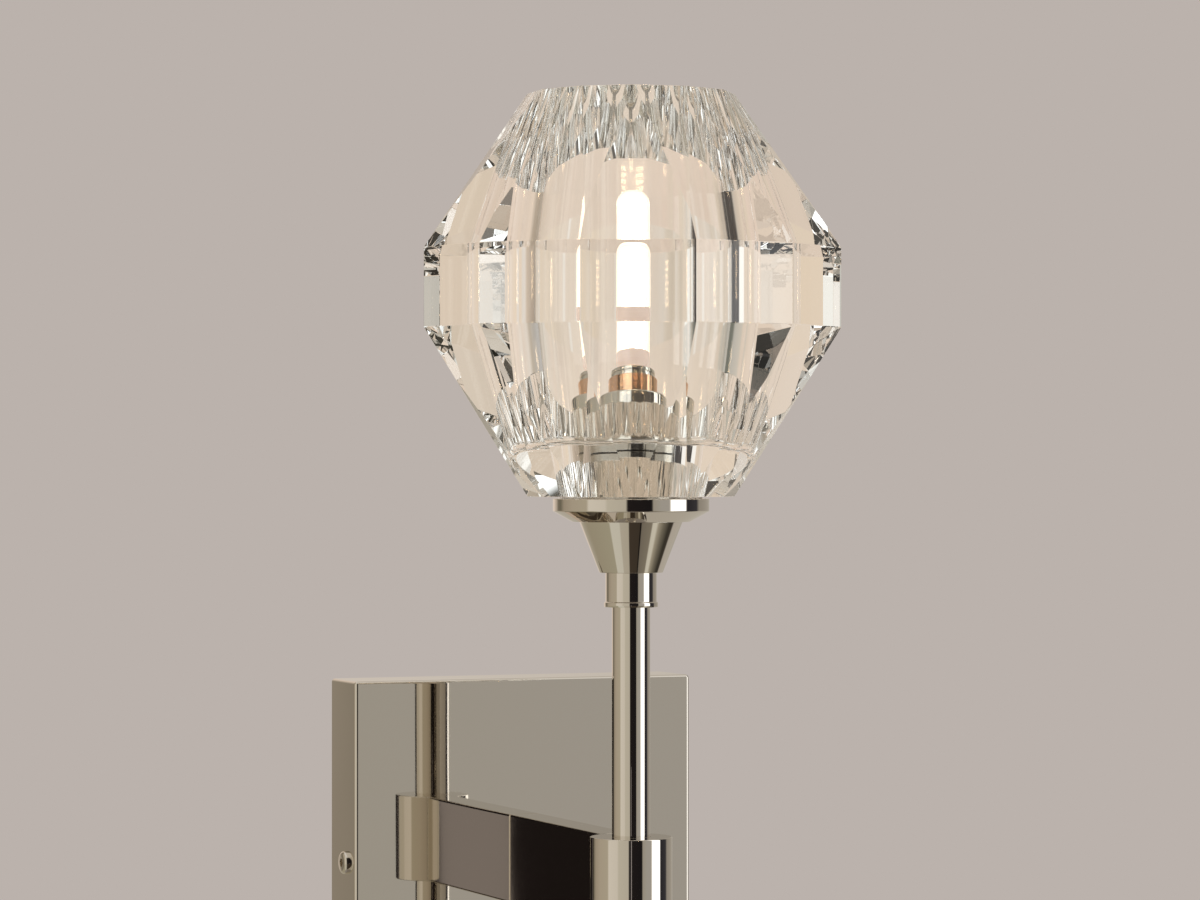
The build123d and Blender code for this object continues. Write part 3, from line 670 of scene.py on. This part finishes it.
# %% [markdown]
# ## Plastics, ceramic and light
# The hidden pieces still show from behind and through the crystal. Each has a slight
# mottle in colour and a fine moulded or fired grain, and the chips on the bulb's
# column give out a warm white light. The column's board and the bulb's base also get
# a painted glow, which stands for the chips' light scattered in them.

# %% Plastic, ceramic and chips
MOULD_GRAIN_HEIGHT = 0.04 * MM
MOTTLE = 0.9


def moulded(name, colour, roughness, shine=None):
    """Moulded plastic or fired ceramic with a fine grain."""
    material, graph = new_material(name)
    place = graph.add("ShaderNodeTexCoord", out="Object")
    patch = graph.add("ShaderNodeTexNoise", None, {"Vector": place, "Scale": 60.0, "Detail": 4.0})
    grain = graph.add("ShaderNodeTexNoise", None, {"Vector": place, "Scale": 900.0})
    bump = graph.add("ShaderNodeBump", None, {
        "Strength": 0.3, "Distance": MOULD_GRAIN_HEIGHT, "Height": grain})
    tone = graph.add("ShaderNodeMix", {"data_type": "RGBA"}, {
        "Factor": patch, 6: (*[c * MOTTLE for c in colour], 1), 7: (*colour, 1)}, out=2)
    shader_inputs = {"Base Color": tone, "Roughness": patch * 0.1 + roughness, "Normal": bump}
    if shine:
        light_up(shader_inputs, shine)
    show(graph, graph.add("ShaderNodeBsdfPrincipled", inputs=shader_inputs))
    return material


ceramic = moulded("white_ceramic", (0.82, 0.80, 0.76), 0.45)
# The board's and the base's glow is painted light: it stands for the chips' light scattered in them.
board_painted_glow = moulded("ceramic_board", (0.9, 0.88, 0.84), 0.5, shine=((1.0, 0.86, 0.70), 1.2))
base_plastic_painted_glow = moulded("bulb_plastic", (0.90, 0.80, 0.74), 0.4, shine=((1.0, 0.72, 0.58), 0.45))
chips = moulded("light_chips", (1.0, 0.86, 0.6), 0.4, shine=((1.0, 0.72, 0.46), 36.0))
black_nylon = moulded("black_nylon", (0.03, 0.03, 0.03), 0.5)
connector_orange = moulded("connector_plastic", (0.72, 0.22, 0.03), 0.45)
black_lead = moulded("black_insulation", (0.025, 0.025, 0.025), 0.35)
white_lead = moulded("white_insulation", (0.78, 0.77, 0.74), 0.35)
green_lead = moulded("green_insulation", (0.02, 0.22, 0.06), 0.35)
green_paint = moulded("green_paint", (0.03, 0.20, 0.07), 0.3)
print("materials so far:", len(bpy.data.materials))

# %% Finish of each node that stays as it was packed
NODE_FINISH = {
    "wall_bracket": zinc, "ground_screw": green_paint, "root_block": brass, "root_washers": zinc,
    "root_screws": zinc, "wire_bushing": black_nylon, "nipple": zinc, "clamp_nut": zinc,
    "holder_foot_plate": zinc, "holder_screws": zinc, "lampholder": ceramic,
    "holder_contacts": wire_metal, "bulb_base": base_plastic_painted_glow, "bulb_pins": wire_metal,
    "light_column": board_painted_glow, "light_chips": chips, "live_lead": black_lead,
    "neutral_lead": white_lead, "ground_lead": green_lead,
}
for node, finish in NODE_FINISH.items():
    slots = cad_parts[node].data.materials
    slots.clear()
    slots.append(finish)
print("nodes kept as packed:", len(NODE_FINISH))

# %% [markdown]
# ## Modelling helpers
# Most pieces here come off a lathe, so one helper does what a lathe does: it starts
# from a circle and extrudes it from point to point of an outline, resizing the ring
# as it goes. Another softens sharp edges, since real polished edges are never knife
# sharp, and evens the shading, so that a flat side mirrors the room without bending it.
# The last one hands the piece over to the frame.

# %% Work on one piece at a time


def start_fresh():
    """Object mode with nothing selected, so an operator acts on the new piece only."""
    if bpy.context.object and bpy.context.object.mode != "OBJECT":
        bpy.ops.object.mode_set(mode="OBJECT")
    bpy.ops.object.select_all(action="DESELECT")


def take(piece):
    """Makes the piece the only one that operators act on."""
    start_fresh()
    piece.select_set(True)
    bpy.context.view_layer.objects.active = piece


def pick_faces(piece, wanted):
    """Opens the piece in edit mode with only its wanted faces picked."""
    take(piece)
    bpy.ops.object.mode_set(mode="EDIT")
    bpy.ops.mesh.select_mode(type="FACE")
    bpy.ops.mesh.select_all(action="DESELECT")
    bpy.ops.object.mode_set(mode="OBJECT")
    for face in piece.data.polygons:
        face.select = wanted(face)
    bpy.ops.object.mode_set(mode="EDIT")


def apply_modifiers(piece):
    """Applies every modifier of the piece, in order."""
    take(piece)
    for modifier in list(piece.modifiers):
        bpy.ops.object.modifier_apply(modifier=modifier.name)


print("operators can now be pointed at one piece")

# %% Edges and shading
SMOOTH_ANGLE = radians(24)
SHARP_ANGLE = radians(36)


def even_shading(piece):
    """Smooths rounded edges and keeps large flats perfectly flat."""
    take(piece)
    bpy.ops.object.shade_smooth_by_angle(angle=SHARP_ANGLE)
    weighted = piece.modifiers.new("flats", "WEIGHTED_NORMAL")
    weighted.keep_sharp = True
    apply_modifiers(piece)


def round_edges(piece, width, segments):
    """Adds a bevel to the piece's sharp edges."""
    bevel = piece.modifiers.new("edges", "BEVEL")
    bevel.width = width
    bevel.segments = segments
    bevel.limit_method = "ANGLE"
    bevel.angle_limit = SMOOTH_ANGLE
    return bevel


def soften(piece, width, segments=3):
    """Bevels the piece's sharp edges and keeps its flats flat."""
    bevel = round_edges(piece, width, segments)
    bevel.miter_outer = "MITER_ARC"
    apply_modifiers(piece)
    even_shading(piece)


print("edges sharper than", round(SMOOTH_ANGLE, 3), "radians get a bevel")

# %% A lathe
ROUND_SIDES = 192


def quarter_round(radius, height, bend, steps, upwards=True):
    """Outline points of a rounded edge, from the side of a turned piece to its end."""
    rise = bend if upwards else -bend
    return [(radius - bend * (1 - cos(QUARTER * i / steps)),
             height - rise * (1 - sin(QUARTER * i / steps))) for i in range(steps + 1)]


def turned(name, outline, closed=True):
    """A lathe: carries a ring along an outline of (radius, height) points on the stem axis."""
    start_fresh()
    bpy.ops.mesh.primitive_circle_add(vertices=ROUND_SIDES, radius=outline[0][0],
                                      fill_type="NOTHING",
                                      location=(axis_x, axis_y, outline[0][1]))
    piece = bpy.context.object
    piece.name = name
    bpy.ops.object.mode_set(mode="EDIT")
    bpy.ops.mesh.select_mode(type="VERT")
    bpy.ops.mesh.select_all(action="SELECT")
    for (radius, height), (next_radius, next_height) in zip(outline, outline[1:]):
        bpy.ops.mesh.extrude_region_move(
            TRANSFORM_OT_translate={"value": (0, 0, next_height - height)})
        growth = next_radius / radius
        bpy.ops.transform.resize(value=(growth, growth, 1),
                                 center_override=(axis_x, axis_y, next_height))
    bpy.ops.mesh.select_all(action="DESELECT")
    bpy.ops.mesh.select_mode(type="EDGE")
    bpy.ops.mesh.select_non_manifold()
    if closed:
        bpy.ops.mesh.bridge_edge_loops()
    else:
        bpy.ops.mesh.fill_holes(sides=0)
    bpy.ops.mesh.select_all(action="SELECT")
    bpy.ops.mesh.normals_make_consistent(inside=False)
    bpy.ops.object.mode_set(mode="OBJECT")
    return piece


print("turned pieces get", ROUND_SIDES, "sides")


def block(name, lowest, highest):
    """A box between two corners."""
    start_fresh()
    middle = (lowest + highest) / 2
    bpy.ops.mesh.primitive_cube_add(size=1, location=middle)
    piece = bpy.context.object
    piece.name = name
    piece.scale = highest - lowest
    bpy.ops.object.transform_apply(location=True, rotation=True, scale=True)
    return piece


def carve(piece, tool):
    """Cuts the tool's shape out of the piece and deletes the tool."""
    cut = piece.modifiers.new("cut", "BOOLEAN")
    cut.operation = "DIFFERENCE"
    cut.solver = "EXACT"
    cut.object = tool
    apply_modifiers(piece)
    bpy.data.objects.remove(tool)


def hand_over(piece, node, finish, body="fixture"):
    """Puts the piece's place in its mesh, gives it its finish and ties it to the frame."""
    take(piece)
    bpy.ops.object.transform_apply(location=True, rotation=True, scale=True)
    piece.data.materials.clear()
    piece.data.materials.append(finish)
    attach(piece, body)
    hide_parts(node)
    print(piece.name, "faces:", len(piece.data.polygons))


# %% [markdown]
# ## The cut-crystal shade
# The real shade is one block of crystal, ground flat on a wheel: twelve facets round
# the middle, twelve more leaning in above and twelve below. It starts here as a
# twelve-sided cylinder, the height of the middle band. Its top face is extruded up
# and drawn in, and its bottom face down.

# %% Crystal block
FACETS = 12
LOWER_HEIGHT = 51.6 * MM
BAND_HEIGHT = 24.2 * MM
BASE_RADIUS = 33.0 * MM
BAND_RADIUS = 65.7 * MM
RIM_RADIUS = 33.1 * MM
BORE_RADIUS = 28.4 * MM
FLOOR_THICKNESS = 19.3 * MM
FLOOR_HOLE_RADIUS = 15.2 * MM
BORE_FILLET = 2.6 * MM
SHADE_TURN = radians(23.7)
ARRIS = 0.12 * MM
shade_low, shade_high = low("crystal_shade"), high("crystal_shade")
band_low = shade_low.z + LOWER_HEIGHT
band_high = band_low + BAND_HEIGHT

start_fresh()
bpy.ops.mesh.primitive_cylinder_add(
    vertices=FACETS, radius=BAND_RADIUS, depth=BAND_HEIGHT, end_fill_type="NGON",
    location=(axis_x, axis_y, (band_low + band_high) / 2))
shade = bpy.context.object
shade.name = "cut_crystal_shade"
shade.rotation_euler = (0, 0, SHADE_TURN - QUARTER)
bpy.ops.object.transform_apply(location=True, rotation=True, scale=True)


def draw_end(piece, upwards, rise, growth):
    """Extrudes the piece's top or bottom face by rise and resizes it."""
    sign = 1 if upwards else -1
    pick_faces(piece, lambda face: face.normal.z * sign > 0.9)
    bpy.ops.mesh.extrude_region_move(TRANSFORM_OT_translate={"value": (0, 0, sign * rise)})
    bpy.ops.transform.resize(value=(growth, growth, 1))
    bpy.ops.object.mode_set(mode="OBJECT")


draw_end(shade, True, shade_high.z - band_high, RIM_RADIUS / BAND_RADIUS)
draw_end(shade, False, LOWER_HEIGHT, BASE_RADIUS / BAND_RADIUS)
print("crystal roughed out, faces:", len(shade.data.polygons))

# %% [markdown]
# ### Break facets, arrises and bore
# Twelve more facets are then ground over the arrises of each cone. Each is one flat
# cut, given by how far from the axis it meets the rim or the base and by how fast it
# widens, so Bisect removes what lies outside its plane. They turn the rim and the
# base by half a facet, as in the photograph. The arrises then get a very small bevel,
# because that thin line is what catches light. Last, a tool with a rounded edge cuts the
# bore from above, and a plain one cuts the hole in the floor.

# %% Break facets
BREAK_FACETS = (
    ("rim", 1, shade_high.z, 30.9 * MM, 0.732),
    ("base", -1, shade_low.z, 30.8 * MM, 0.695),
)


def grind(piece, place, outwards):
    """Grinds one flat facet: removes what lies beyond a plane and closes the cut."""
    take(piece)
    bpy.ops.object.mode_set(mode="EDIT")
    bpy.ops.mesh.select_all(action="SELECT")
    bpy.ops.mesh.bisect(plane_co=place, plane_no=outwards, use_fill=True, clear_outer=True)
    bpy.ops.object.mode_set(mode="OBJECT")


for end_name, sign, end_height, flat_radius, growth in BREAK_FACETS:
    for i in range(FACETS):
        angle = SHADE_TURN - QUARTER + 2 * pi * i / FACETS
        out = Vector((cos(angle), sin(angle), 0))
        place = Vector((axis_x, axis_y, end_height)) + out * flat_radius
        grind(shade, place, (out + Vector((0, 0, sign * growth))).normalized())
    print("break facets ground at the", end_name, "faces:", len(shade.data.polygons))

# %% Arrises, bore and floor hole
arris = shade.modifiers.new("arris", "BEVEL")
arris.width = ARRIS
arris.segments = 1
apply_modifiers(shade)

floor_height = shade_low.z + FLOOR_THICKNESS
FILLET_STEPS = 8
OVERSHOOT = 3 * MM
nose = quarter_round(BORE_RADIUS, floor_height, BORE_FILLET, FILLET_STEPS, upwards=False)[::-1]
bore_tool = turned("bore_tool", nose + [(BORE_RADIUS, shade_high.z + OVERSHOOT)], closed=False)
carve(shade, bore_tool)
hole_tool = turned("hole_tool", [(FLOOR_HOLE_RADIUS, shade_low.z - OVERSHOOT),
                                 (FLOOR_HOLE_RADIUS, floor_height + OVERSHOOT)], closed=False)
carve(shade, hole_tool)


def inside_bore(face):
    """True for the faces of the bore's wall and its fillet."""
    out_x, out_y = face.center.x - axis_x, face.center.y - axis_y
    return (out_x ** 2 + out_y ** 2) ** 0.5 < BORE_RADIUS + ARRIS and abs(face.normal.z) < 0.99


pick_faces(shade, inside_bore)
bpy.ops.mesh.faces_shade_smooth()
bpy.ops.mesh.region_to_loop()
bpy.ops.mesh.mark_sharp()
bpy.ops.object.mode_set(mode="OBJECT")
hand_over(shade, "crystal_shade", crystal)

# %% [markdown]
# ## Stem, collar, cone and dish
# These are brass tubes and turnings with nickel over them. Their outlines repeat the
# real ones: the collar has a thin lip at its foot, the cone flares to the dish, the
# dish has an upright rim over a bevelled underside, and a domed cap ends the rod below.

# %% Tubes
EDGE = 0.12 * MM
STEM_WALL = 0.9 * MM
LOWER_STEM_WALL = 1.6 * MM


def tube(name, node, wall, finish=nickel):
    """A plain turned tube over a round node."""
    outer = radius_of(node)
    bottom, top = low(node).z, high(node).z
    inner = outer - wall
    piece = turned(name, [(outer, bottom), (outer, top), (inner, top), (inner, bottom)])
    soften(piece, EDGE, segments=2)
    hand_over(piece, node, finish)


tube("stem_tube", "stem", STEM_WALL)
tube("lower_stem_tube", "lower_stem", LOWER_STEM_WALL)

# %% Collar
COLLAR_RADIUS = 7.9 * MM
LIP_HEIGHT = 1.4 * MM
LIP_GROOVE = 0.25 * MM
SEAT_CLEAR = 0.05 * MM
NIPPLE_HOLE_RADIUS = 5.1 * MM
collar_low, collar_high = low("collar").z, high("collar").z
lip_radius = radius_of("collar")
bore = radius_of("stem") + SEAT_CLEAR
collar = turned("collar_sleeve", [
    (bore, collar_low), (lip_radius, collar_low), (lip_radius, collar_low + LIP_HEIGHT),
    (COLLAR_RADIUS, collar_low + LIP_HEIGHT + LIP_GROOVE), (COLLAR_RADIUS, collar_high),
    (bore, collar_high)])
soften(collar, EDGE, segments=2)
hand_over(collar, "collar", nickel)

# %% Cone
CONE_FOOT_RADIUS = 9.8 * MM
CONE_WALL = 1.6 * MM
CONE_FLOOR = 2.2 * MM
cone_low, cone_high = low("cone_cup").z, high("cone_cup").z
cone_top = radius_of("cone_cup")
cone = turned("cone_cup_shell", [
    (NIPPLE_HOLE_RADIUS, cone_low), (CONE_FOOT_RADIUS, cone_low), (cone_top, cone_high),
    (cone_top - CONE_WALL, cone_high), (CONE_FOOT_RADIUS - CONE_WALL, cone_low + CONE_FLOOR),
    (NIPPLE_HOLE_RADIUS, cone_low + CONE_FLOOR)])
soften(cone, EDGE, segments=2)
hand_over(cone, "cone_cup", nickel)

# %% Dish
DISH_UNDER_RADIUS = 18.1 * MM
DISH_UNDER_HEIGHT = 3.3 * MM
DISH_EDGE = 0.245 * MM
SPIGOT_RADIUS = 13.0 * MM
dish_top = high("dish").z
dish_radius = radius_of("dish")
dish = turned("dish_plate", [
    (NIPPLE_HOLE_RADIUS, low("dish").z), (SPIGOT_RADIUS, low("dish").z), (SPIGOT_RADIUS, cone_high),
    (DISH_UNDER_RADIUS, cone_high), (dish_radius, cone_high + DISH_UNDER_HEIGHT),
    (dish_radius, dish_top), (NIPPLE_HOLE_RADIUS, dish_top)])
soften(dish, DISH_EDGE)
hand_over(dish, "dish", nickel)

# %% End cap
CAP_RADIUS = 7.9 * MM
CAP_DOME = 2.5 * MM
DOME_STEPS = 6
cap_low, cap_high = low("end_cap").z, high("end_cap").z
dome = quarter_round(CAP_RADIUS, cap_low, CAP_DOME, DOME_STEPS, upwards=False)
half_depth = (cap_low + cap_high) / 2
cap = turned("end_cap_dome", [
    (bore, half_depth), (bore, cap_high), (lip_radius, cap_high),
    (lip_radius, cap_high - LIP_HEIGHT), (CAP_RADIUS, cap_high - LIP_HEIGHT - LIP_GROOVE)] + dome,
    closed=False)
soften(cap, EDGE, segments=2)
hand_over(cap, "end_cap", nickel)

# %% [markdown]
# ## Hub and arm
# The hub is a plain round post with its two ends broken by a tiny chamfer, and the
# flat arm butts against its side. The arm starts as a box that reaches the hub's
# middle; a cylinder the size of the hub then cuts it back, as a mill would. A cut
# leaves its own shading on the sides, so the arm's is evened once more after it.

# %% Hub
hub_low, hub_high = low("hub").z, high("hub").z
hub_radius = radius_of("hub")
HUB_SOCKET = 9.0 * MM
HUB_WIRE_RADIUS = 4.6 * MM
HUB_EDGE = 0.3 * MM
hub = turned("hub_post", [
    (bore, hub_low), (hub_radius, hub_low), (hub_radius, hub_high), (bore, hub_high),
    (bore, hub_high - HUB_SOCKET), (HUB_WIRE_RADIUS, hub_high - HUB_SOCKET),
    (HUB_WIRE_RADIUS, hub_low + HUB_SOCKET), (bore, hub_low + HUB_SOCKET)])
soften(hub, HUB_EDGE)
hand_over(hub, "hub", nickel)

# %% Arm
ARM_EDGE = 0.7 * MM
CUTTER_LENGTH = 0.1
arm_low, arm_high = low("arm"), high("arm")
arm = block("flat_arm", Vector((arm_low.x, axis_y, arm_low.z)), arm_high)
soften(arm, ARM_EDGE, segments=4)
start_fresh()
bpy.ops.mesh.primitive_cylinder_add(vertices=ROUND_SIDES, radius=hub_radius, depth=CUTTER_LENGTH,
                                    location=(axis_x, axis_y, 0))
carve(arm, bpy.context.object)
even_shading(arm)
hand_over(arm, "arm", nickel)

# %% [markdown]
# ## Backplate pan
# The pan is thin sheet, pressed into a shallow square box with softly rolled edges.
# A box loses its back face, its remaining edges are rounded, and Solidify gives the
# sheet its thickness inwards.

# %% Backplate
PAN_SHEET = 1.5 * MM
PAN_EDGE = 1.1 * MM
pan = block("backplate", low("backplate_pan"), high("backplate_pan"))
pick_faces(pan, lambda face: face.normal.y > 0.9)
bpy.ops.mesh.delete(type="ONLY_FACE")
bpy.ops.object.mode_set(mode="OBJECT")
round_edges(pan, PAN_EDGE, segments=5)
sheet = pan.modifiers.new("sheet", "SOLIDIFY")
sheet.thickness = PAN_SHEET
sheet.offset = -1
apply_modifiers(pan)
even_shading(pan)
hand_over(pan, "backplate_pan", nickel_sheet)

# %% [markdown]
# ## Side screws
# A domed screw with a hex socket goes through each side of the pan. One is modelled
# on the right and the other is its copy, turned to the left.

# %% Screw head and socket
HEAD_SIDES = 64
HEAD_RISE = 1.7 * MM
HEAD_ROUND = 0.62 * HEAD_RISE
HEAD_RADIUS = 3.7 * MM
SOCKET_RADIUS = 1.5 * MM
SOCKET_DEPTH = 1.3 * MM
pan_side = high("backplate_pan").x
screw_y = (low("side_screws").y + high("side_screws").y) / 2
facing_x = (0, QUARTER, 0)
start_fresh()
bpy.ops.mesh.primitive_cylinder_add(vertices=HEAD_SIDES, radius=HEAD_RADIUS, depth=HEAD_RISE,
                                    rotation=facing_x,
                                    location=(pan_side + HEAD_RISE / 2, screw_y, 0))
screw = bpy.context.object
screw.name = "side_screw_pair"
bpy.ops.object.transform_apply(location=True, rotation=True, scale=True)
pick_faces(screw, lambda face: face.normal.x > 0.9)
bpy.ops.mesh.region_to_loop()
bpy.ops.mesh.bevel(offset=HEAD_ROUND, segments=6, affect="EDGES")
bpy.ops.object.mode_set(mode="OBJECT")
start_fresh()
bpy.ops.mesh.primitive_cylinder_add(vertices=6, radius=SOCKET_RADIUS, depth=2 * SOCKET_DEPTH,
                                    rotation=facing_x, location=(pan_side + HEAD_RISE, screw_y, 0))
carve(screw, bpy.context.object)
print("screw head faces:", len(screw.data.polygons))

# %% Shank and second screw
SHANK_RADIUS = 2.0 * MM
SHANK_LENGTH = 8.0 * MM
BACK_FACE_MARGIN = 0.1 * MM
SCREW_SHARP_ANGLE = radians(30)
back_limit = pan_side + BACK_FACE_MARGIN
pick_faces(screw, lambda face: face.normal.x < -0.9 and face.center.x < back_limit)
bpy.ops.mesh.inset(thickness=HEAD_RADIUS - SHANK_RADIUS)
bpy.ops.mesh.extrude_region_move(TRANSFORM_OT_translate={"value": (-SHANK_LENGTH, 0, 0)})
bpy.ops.object.mode_set(mode="OBJECT")
bpy.ops.object.shade_smooth_by_angle(angle=SCREW_SHARP_ANGLE)
bpy.ops.object.duplicate()
left_screw = bpy.context.object
left_screw.rotation_euler = (0, 0, pi)
left_screw.location = (0, 2 * screw_y, 0)
bpy.ops.object.transform_apply(location=True, rotation=True, scale=True)
screw.select_set(True)
bpy.context.view_layer.objects.active = screw
bpy.ops.object.join()
hand_over(screw, "side_screws", nickel)

# %% [markdown]
# ## Centring sleeve, cup, sleeve with painted warm reflection, and ring
# A bright tube fills the hole in the crystal's floor and shows through the lower
# facets. Above it a wide washer clamps the block, and a bright cup hides the nut. A
# sleeve and a narrow grooved ring rise out of the cup to the bulb. The sleeve is
# coloured copper: that tone paints the bulb's warm light reflected in its nickel.
# Clear gaskets keep metal and crystal apart. They stop a hair short of the crystal,
# because faces that lie exactly together shade wrongly.

# %% Centring tube and washer
CENTRING_WALL = 1.5 * MM
tube("centring_tube", "centring_sleeve", CENTRING_WALL)

washer_low, washer_high = low("clamp_washer").z, high("clamp_washer").z
washer_radius = radius_of("clamp_washer")
washer = turned("clamp_washer_disc", [
    (NIPPLE_HOLE_RADIUS, washer_low), (washer_radius, washer_low),
    (washer_radius, washer_high), (NIPPLE_HOLE_RADIUS, washer_high)])
soften(washer, EDGE, segments=2)
hand_over(washer, "clamp_washer", nickel)

# %% Clear gaskets
GASKET_SHORT = 0.03 * MM
GASKET_EDGE = 0.05 * MM
CLAMP_GASKET_BORE = 13.5 * MM
GASKETS = (
    ("clamp_gasket_ring", "clamp_gasket", CLAMP_GASKET_BORE),
    ("shade_gasket_ring", "shade_gasket", FLOOR_HOLE_RADIUS),
)
for name, node, bore_radius in GASKETS:
    outer = radius_of(node)
    bottom, top = low(node).z + GASKET_SHORT, high(node).z - GASKET_SHORT
    gasket = turned(name, [(bore_radius, bottom), (outer, bottom), (outer, top), (bore_radius, top)])
    soften(gasket, GASKET_EDGE, segments=2)
    hand_over(gasket, node, silicone)

# %% Holder cup
CUP_WALL = 1.2 * MM
CUP_EDGE = 0.8 * MM
SLEEVE_CLEAR = 0.1 * MM
EDGE_STEPS = 5
cup_low, cup_high = low("holder_cup").z, high("holder_cup").z
cup_radius = radius_of("holder_cup")
cup_mouth = radius_of("holder_sleeve") + SLEEVE_CLEAR
cup_shoulder = quarter_round(cup_radius, cup_high, CUP_EDGE, EDGE_STEPS)
cup = turned("holder_cup_shell", [(cup_radius, cup_low)] + cup_shoulder + [
    (cup_mouth, cup_high), (cup_mouth, cup_high - CUP_WALL),
    (cup_radius - CUP_WALL, cup_high - CUP_WALL), (cup_radius - CUP_WALL, cup_low)])
bpy.ops.object.shade_smooth_by_angle(angle=SMOOTH_ANGLE)
hand_over(cup, "holder_cup", nickel)

# %% Sleeve with painted warm reflection, and ring
SLEEVE_WALL = 1.1 * MM
tube("holder_sleeve_tube", "holder_sleeve", SLEEVE_WALL, sleeve_reflection_metal)

RING_BORE = 8.2 * MM
RING_EDGE = 0.35 * MM
RING_GROOVE = 0.4 * MM
RING_SOFTNESS = 0.1 * MM
ring_low, ring_high = low("holder_ring").z, high("holder_ring").z
ring_radius = radius_of("holder_ring")
groove_low = (ring_low + ring_high - RING_GROOVE) / 2
ring = turned("holder_ring_band", [
    (RING_BORE, ring_low), (ring_radius, ring_low), (ring_radius, groove_low),
    (ring_radius - RING_GROOVE, groove_low), (ring_radius - RING_GROOVE, groove_low + RING_GROOVE),
    (ring_radius, groove_low + RING_GROOVE), (ring_radius, ring_high - RING_EDGE),
    (ring_radius - RING_EDGE, ring_high), (RING_BORE, ring_high)])
soften(ring, RING_SOFTNESS, segments=2)
hand_over(ring, "holder_ring", nickel)

# %% [markdown]
# ## Bulb capsule
# The capsule is a thin clear tube with a rounded top, open at its foot where it fits
# on the moulded base. It is turned as one wall, outside up and inside down.

# %% Capsule
GLASS_WALL = 0.9 * MM
CAPSULE_DOME = 3.6 * MM
POLE = 0.02 * MM
CAPSULE_SHARP_ANGLE = radians(30)
glass_low, glass_high = low("bulb_glass").z, high("bulb_glass").z
glass_radius = radius_of("bulb_glass")


def closed_dome(radius, foot, top, bend):
    """Outline of a tube that closes in a rounded shoulder and ends near the axis."""
    return [(radius, foot), *quarter_round(radius, top, bend, DOME_STEPS), (POLE, top)]


outside = closed_dome(glass_radius, glass_low, glass_high, CAPSULE_DOME)
inside = closed_dome(glass_radius - GLASS_WALL, glass_low, glass_high - GLASS_WALL,
                     CAPSULE_DOME - GLASS_WALL)
glass = turned("bulb_capsule", inside[::-1] + outside, closed=False)
bpy.ops.object.shade_smooth_by_angle(angle=CAPSULE_SHARP_ANGLE)
hand_over(glass, "bulb_glass", capsule, "bulb")

# %% [markdown]
# ## Twist-on connectors
# Behind the pan the leads end in small ribbed caps. One cone is modelled, every other
# strip of its side is raised into a rib, and it is copied to each lead's end.

# %% Connectors
RIBS = 12
RIB_RISE = 0.35 * MM
CONNECTOR_RADIUS = 4.8 * MM
CONNECTOR_TIP = 2.85 * MM
CONNECTOR_XS = (14.0 * MM, -14.0 * MM, -30.0 * MM)
connector_low, connector_high = low("wire_connectors"), high("wire_connectors")
connector_y = (connector_low.y + connector_high.y) / 2
start_fresh()
bpy.ops.mesh.primitive_cone_add(
    vertices=2 * RIBS, radius1=CONNECTOR_RADIUS, radius2=CONNECTOR_TIP,
    depth=connector_high.z - connector_low.z,
    location=(CONNECTOR_XS[0], connector_y, (connector_low.z + connector_high.z) / 2))
connector = bpy.context.object
connector.name = "wire_connector_caps"
bpy.ops.object.transform_apply(location=True, rotation=True, scale=True)
strips = [face.index for face in connector.data.polygons if abs(face.normal.z) < 0.5]
raised = set(strips[::2])
pick_faces(connector, lambda face: face.index in raised)
bpy.ops.mesh.extrude_faces_move(TRANSFORM_OT_shrink_fatten={"value": RIB_RISE})
bpy.ops.object.mode_set(mode="OBJECT")
print("connector strips:", len(strips), "raised:", len(raised))

# %% Copies at the other leads
copies = []
for x in CONNECTOR_XS[1:]:
    take(connector)
    bpy.ops.object.duplicate()
    bpy.context.object.location.x = x - CONNECTOR_XS[0]
    bpy.ops.object.transform_apply(location=True, rotation=True, scale=True)
    copies.append(bpy.context.object)
start_fresh()
for piece in [connector, *copies]:
    piece.select_set(True)
bpy.context.view_layer.objects.active = connector
bpy.ops.object.join()
hand_over(connector, "wire_connectors", connector_orange)

# %% [markdown]
# Light crosses the crystal's faces many times before it leaves, so the limits on its
# bounces are raised. The script ends by printing the size of the imported model and of
# the dressed one.

# %% Bounces
CRYSTAL_BOUNCES = 32
MIRROR_BOUNCES = 16
cycles = bpy.context.scene.cycles
cycles.max_bounces = CRYSTAL_BOUNCES
cycles.transmission_bounces = CRYSTAL_BOUNCES
cycles.glossy_bounces = MIRROR_BOUNCES
print("bounces in crystal:", CRYSTAL_BOUNCES, "and between mirrors:", MIRROR_BOUNCES)

# %% Sizes and finish
look_low, look_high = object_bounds()
for title, size in (("packed", cad_high - cad_low), ("dressed", look_high - look_low)):
    print(title, "size in mm:", [round(v / MM, 2) for v in size])
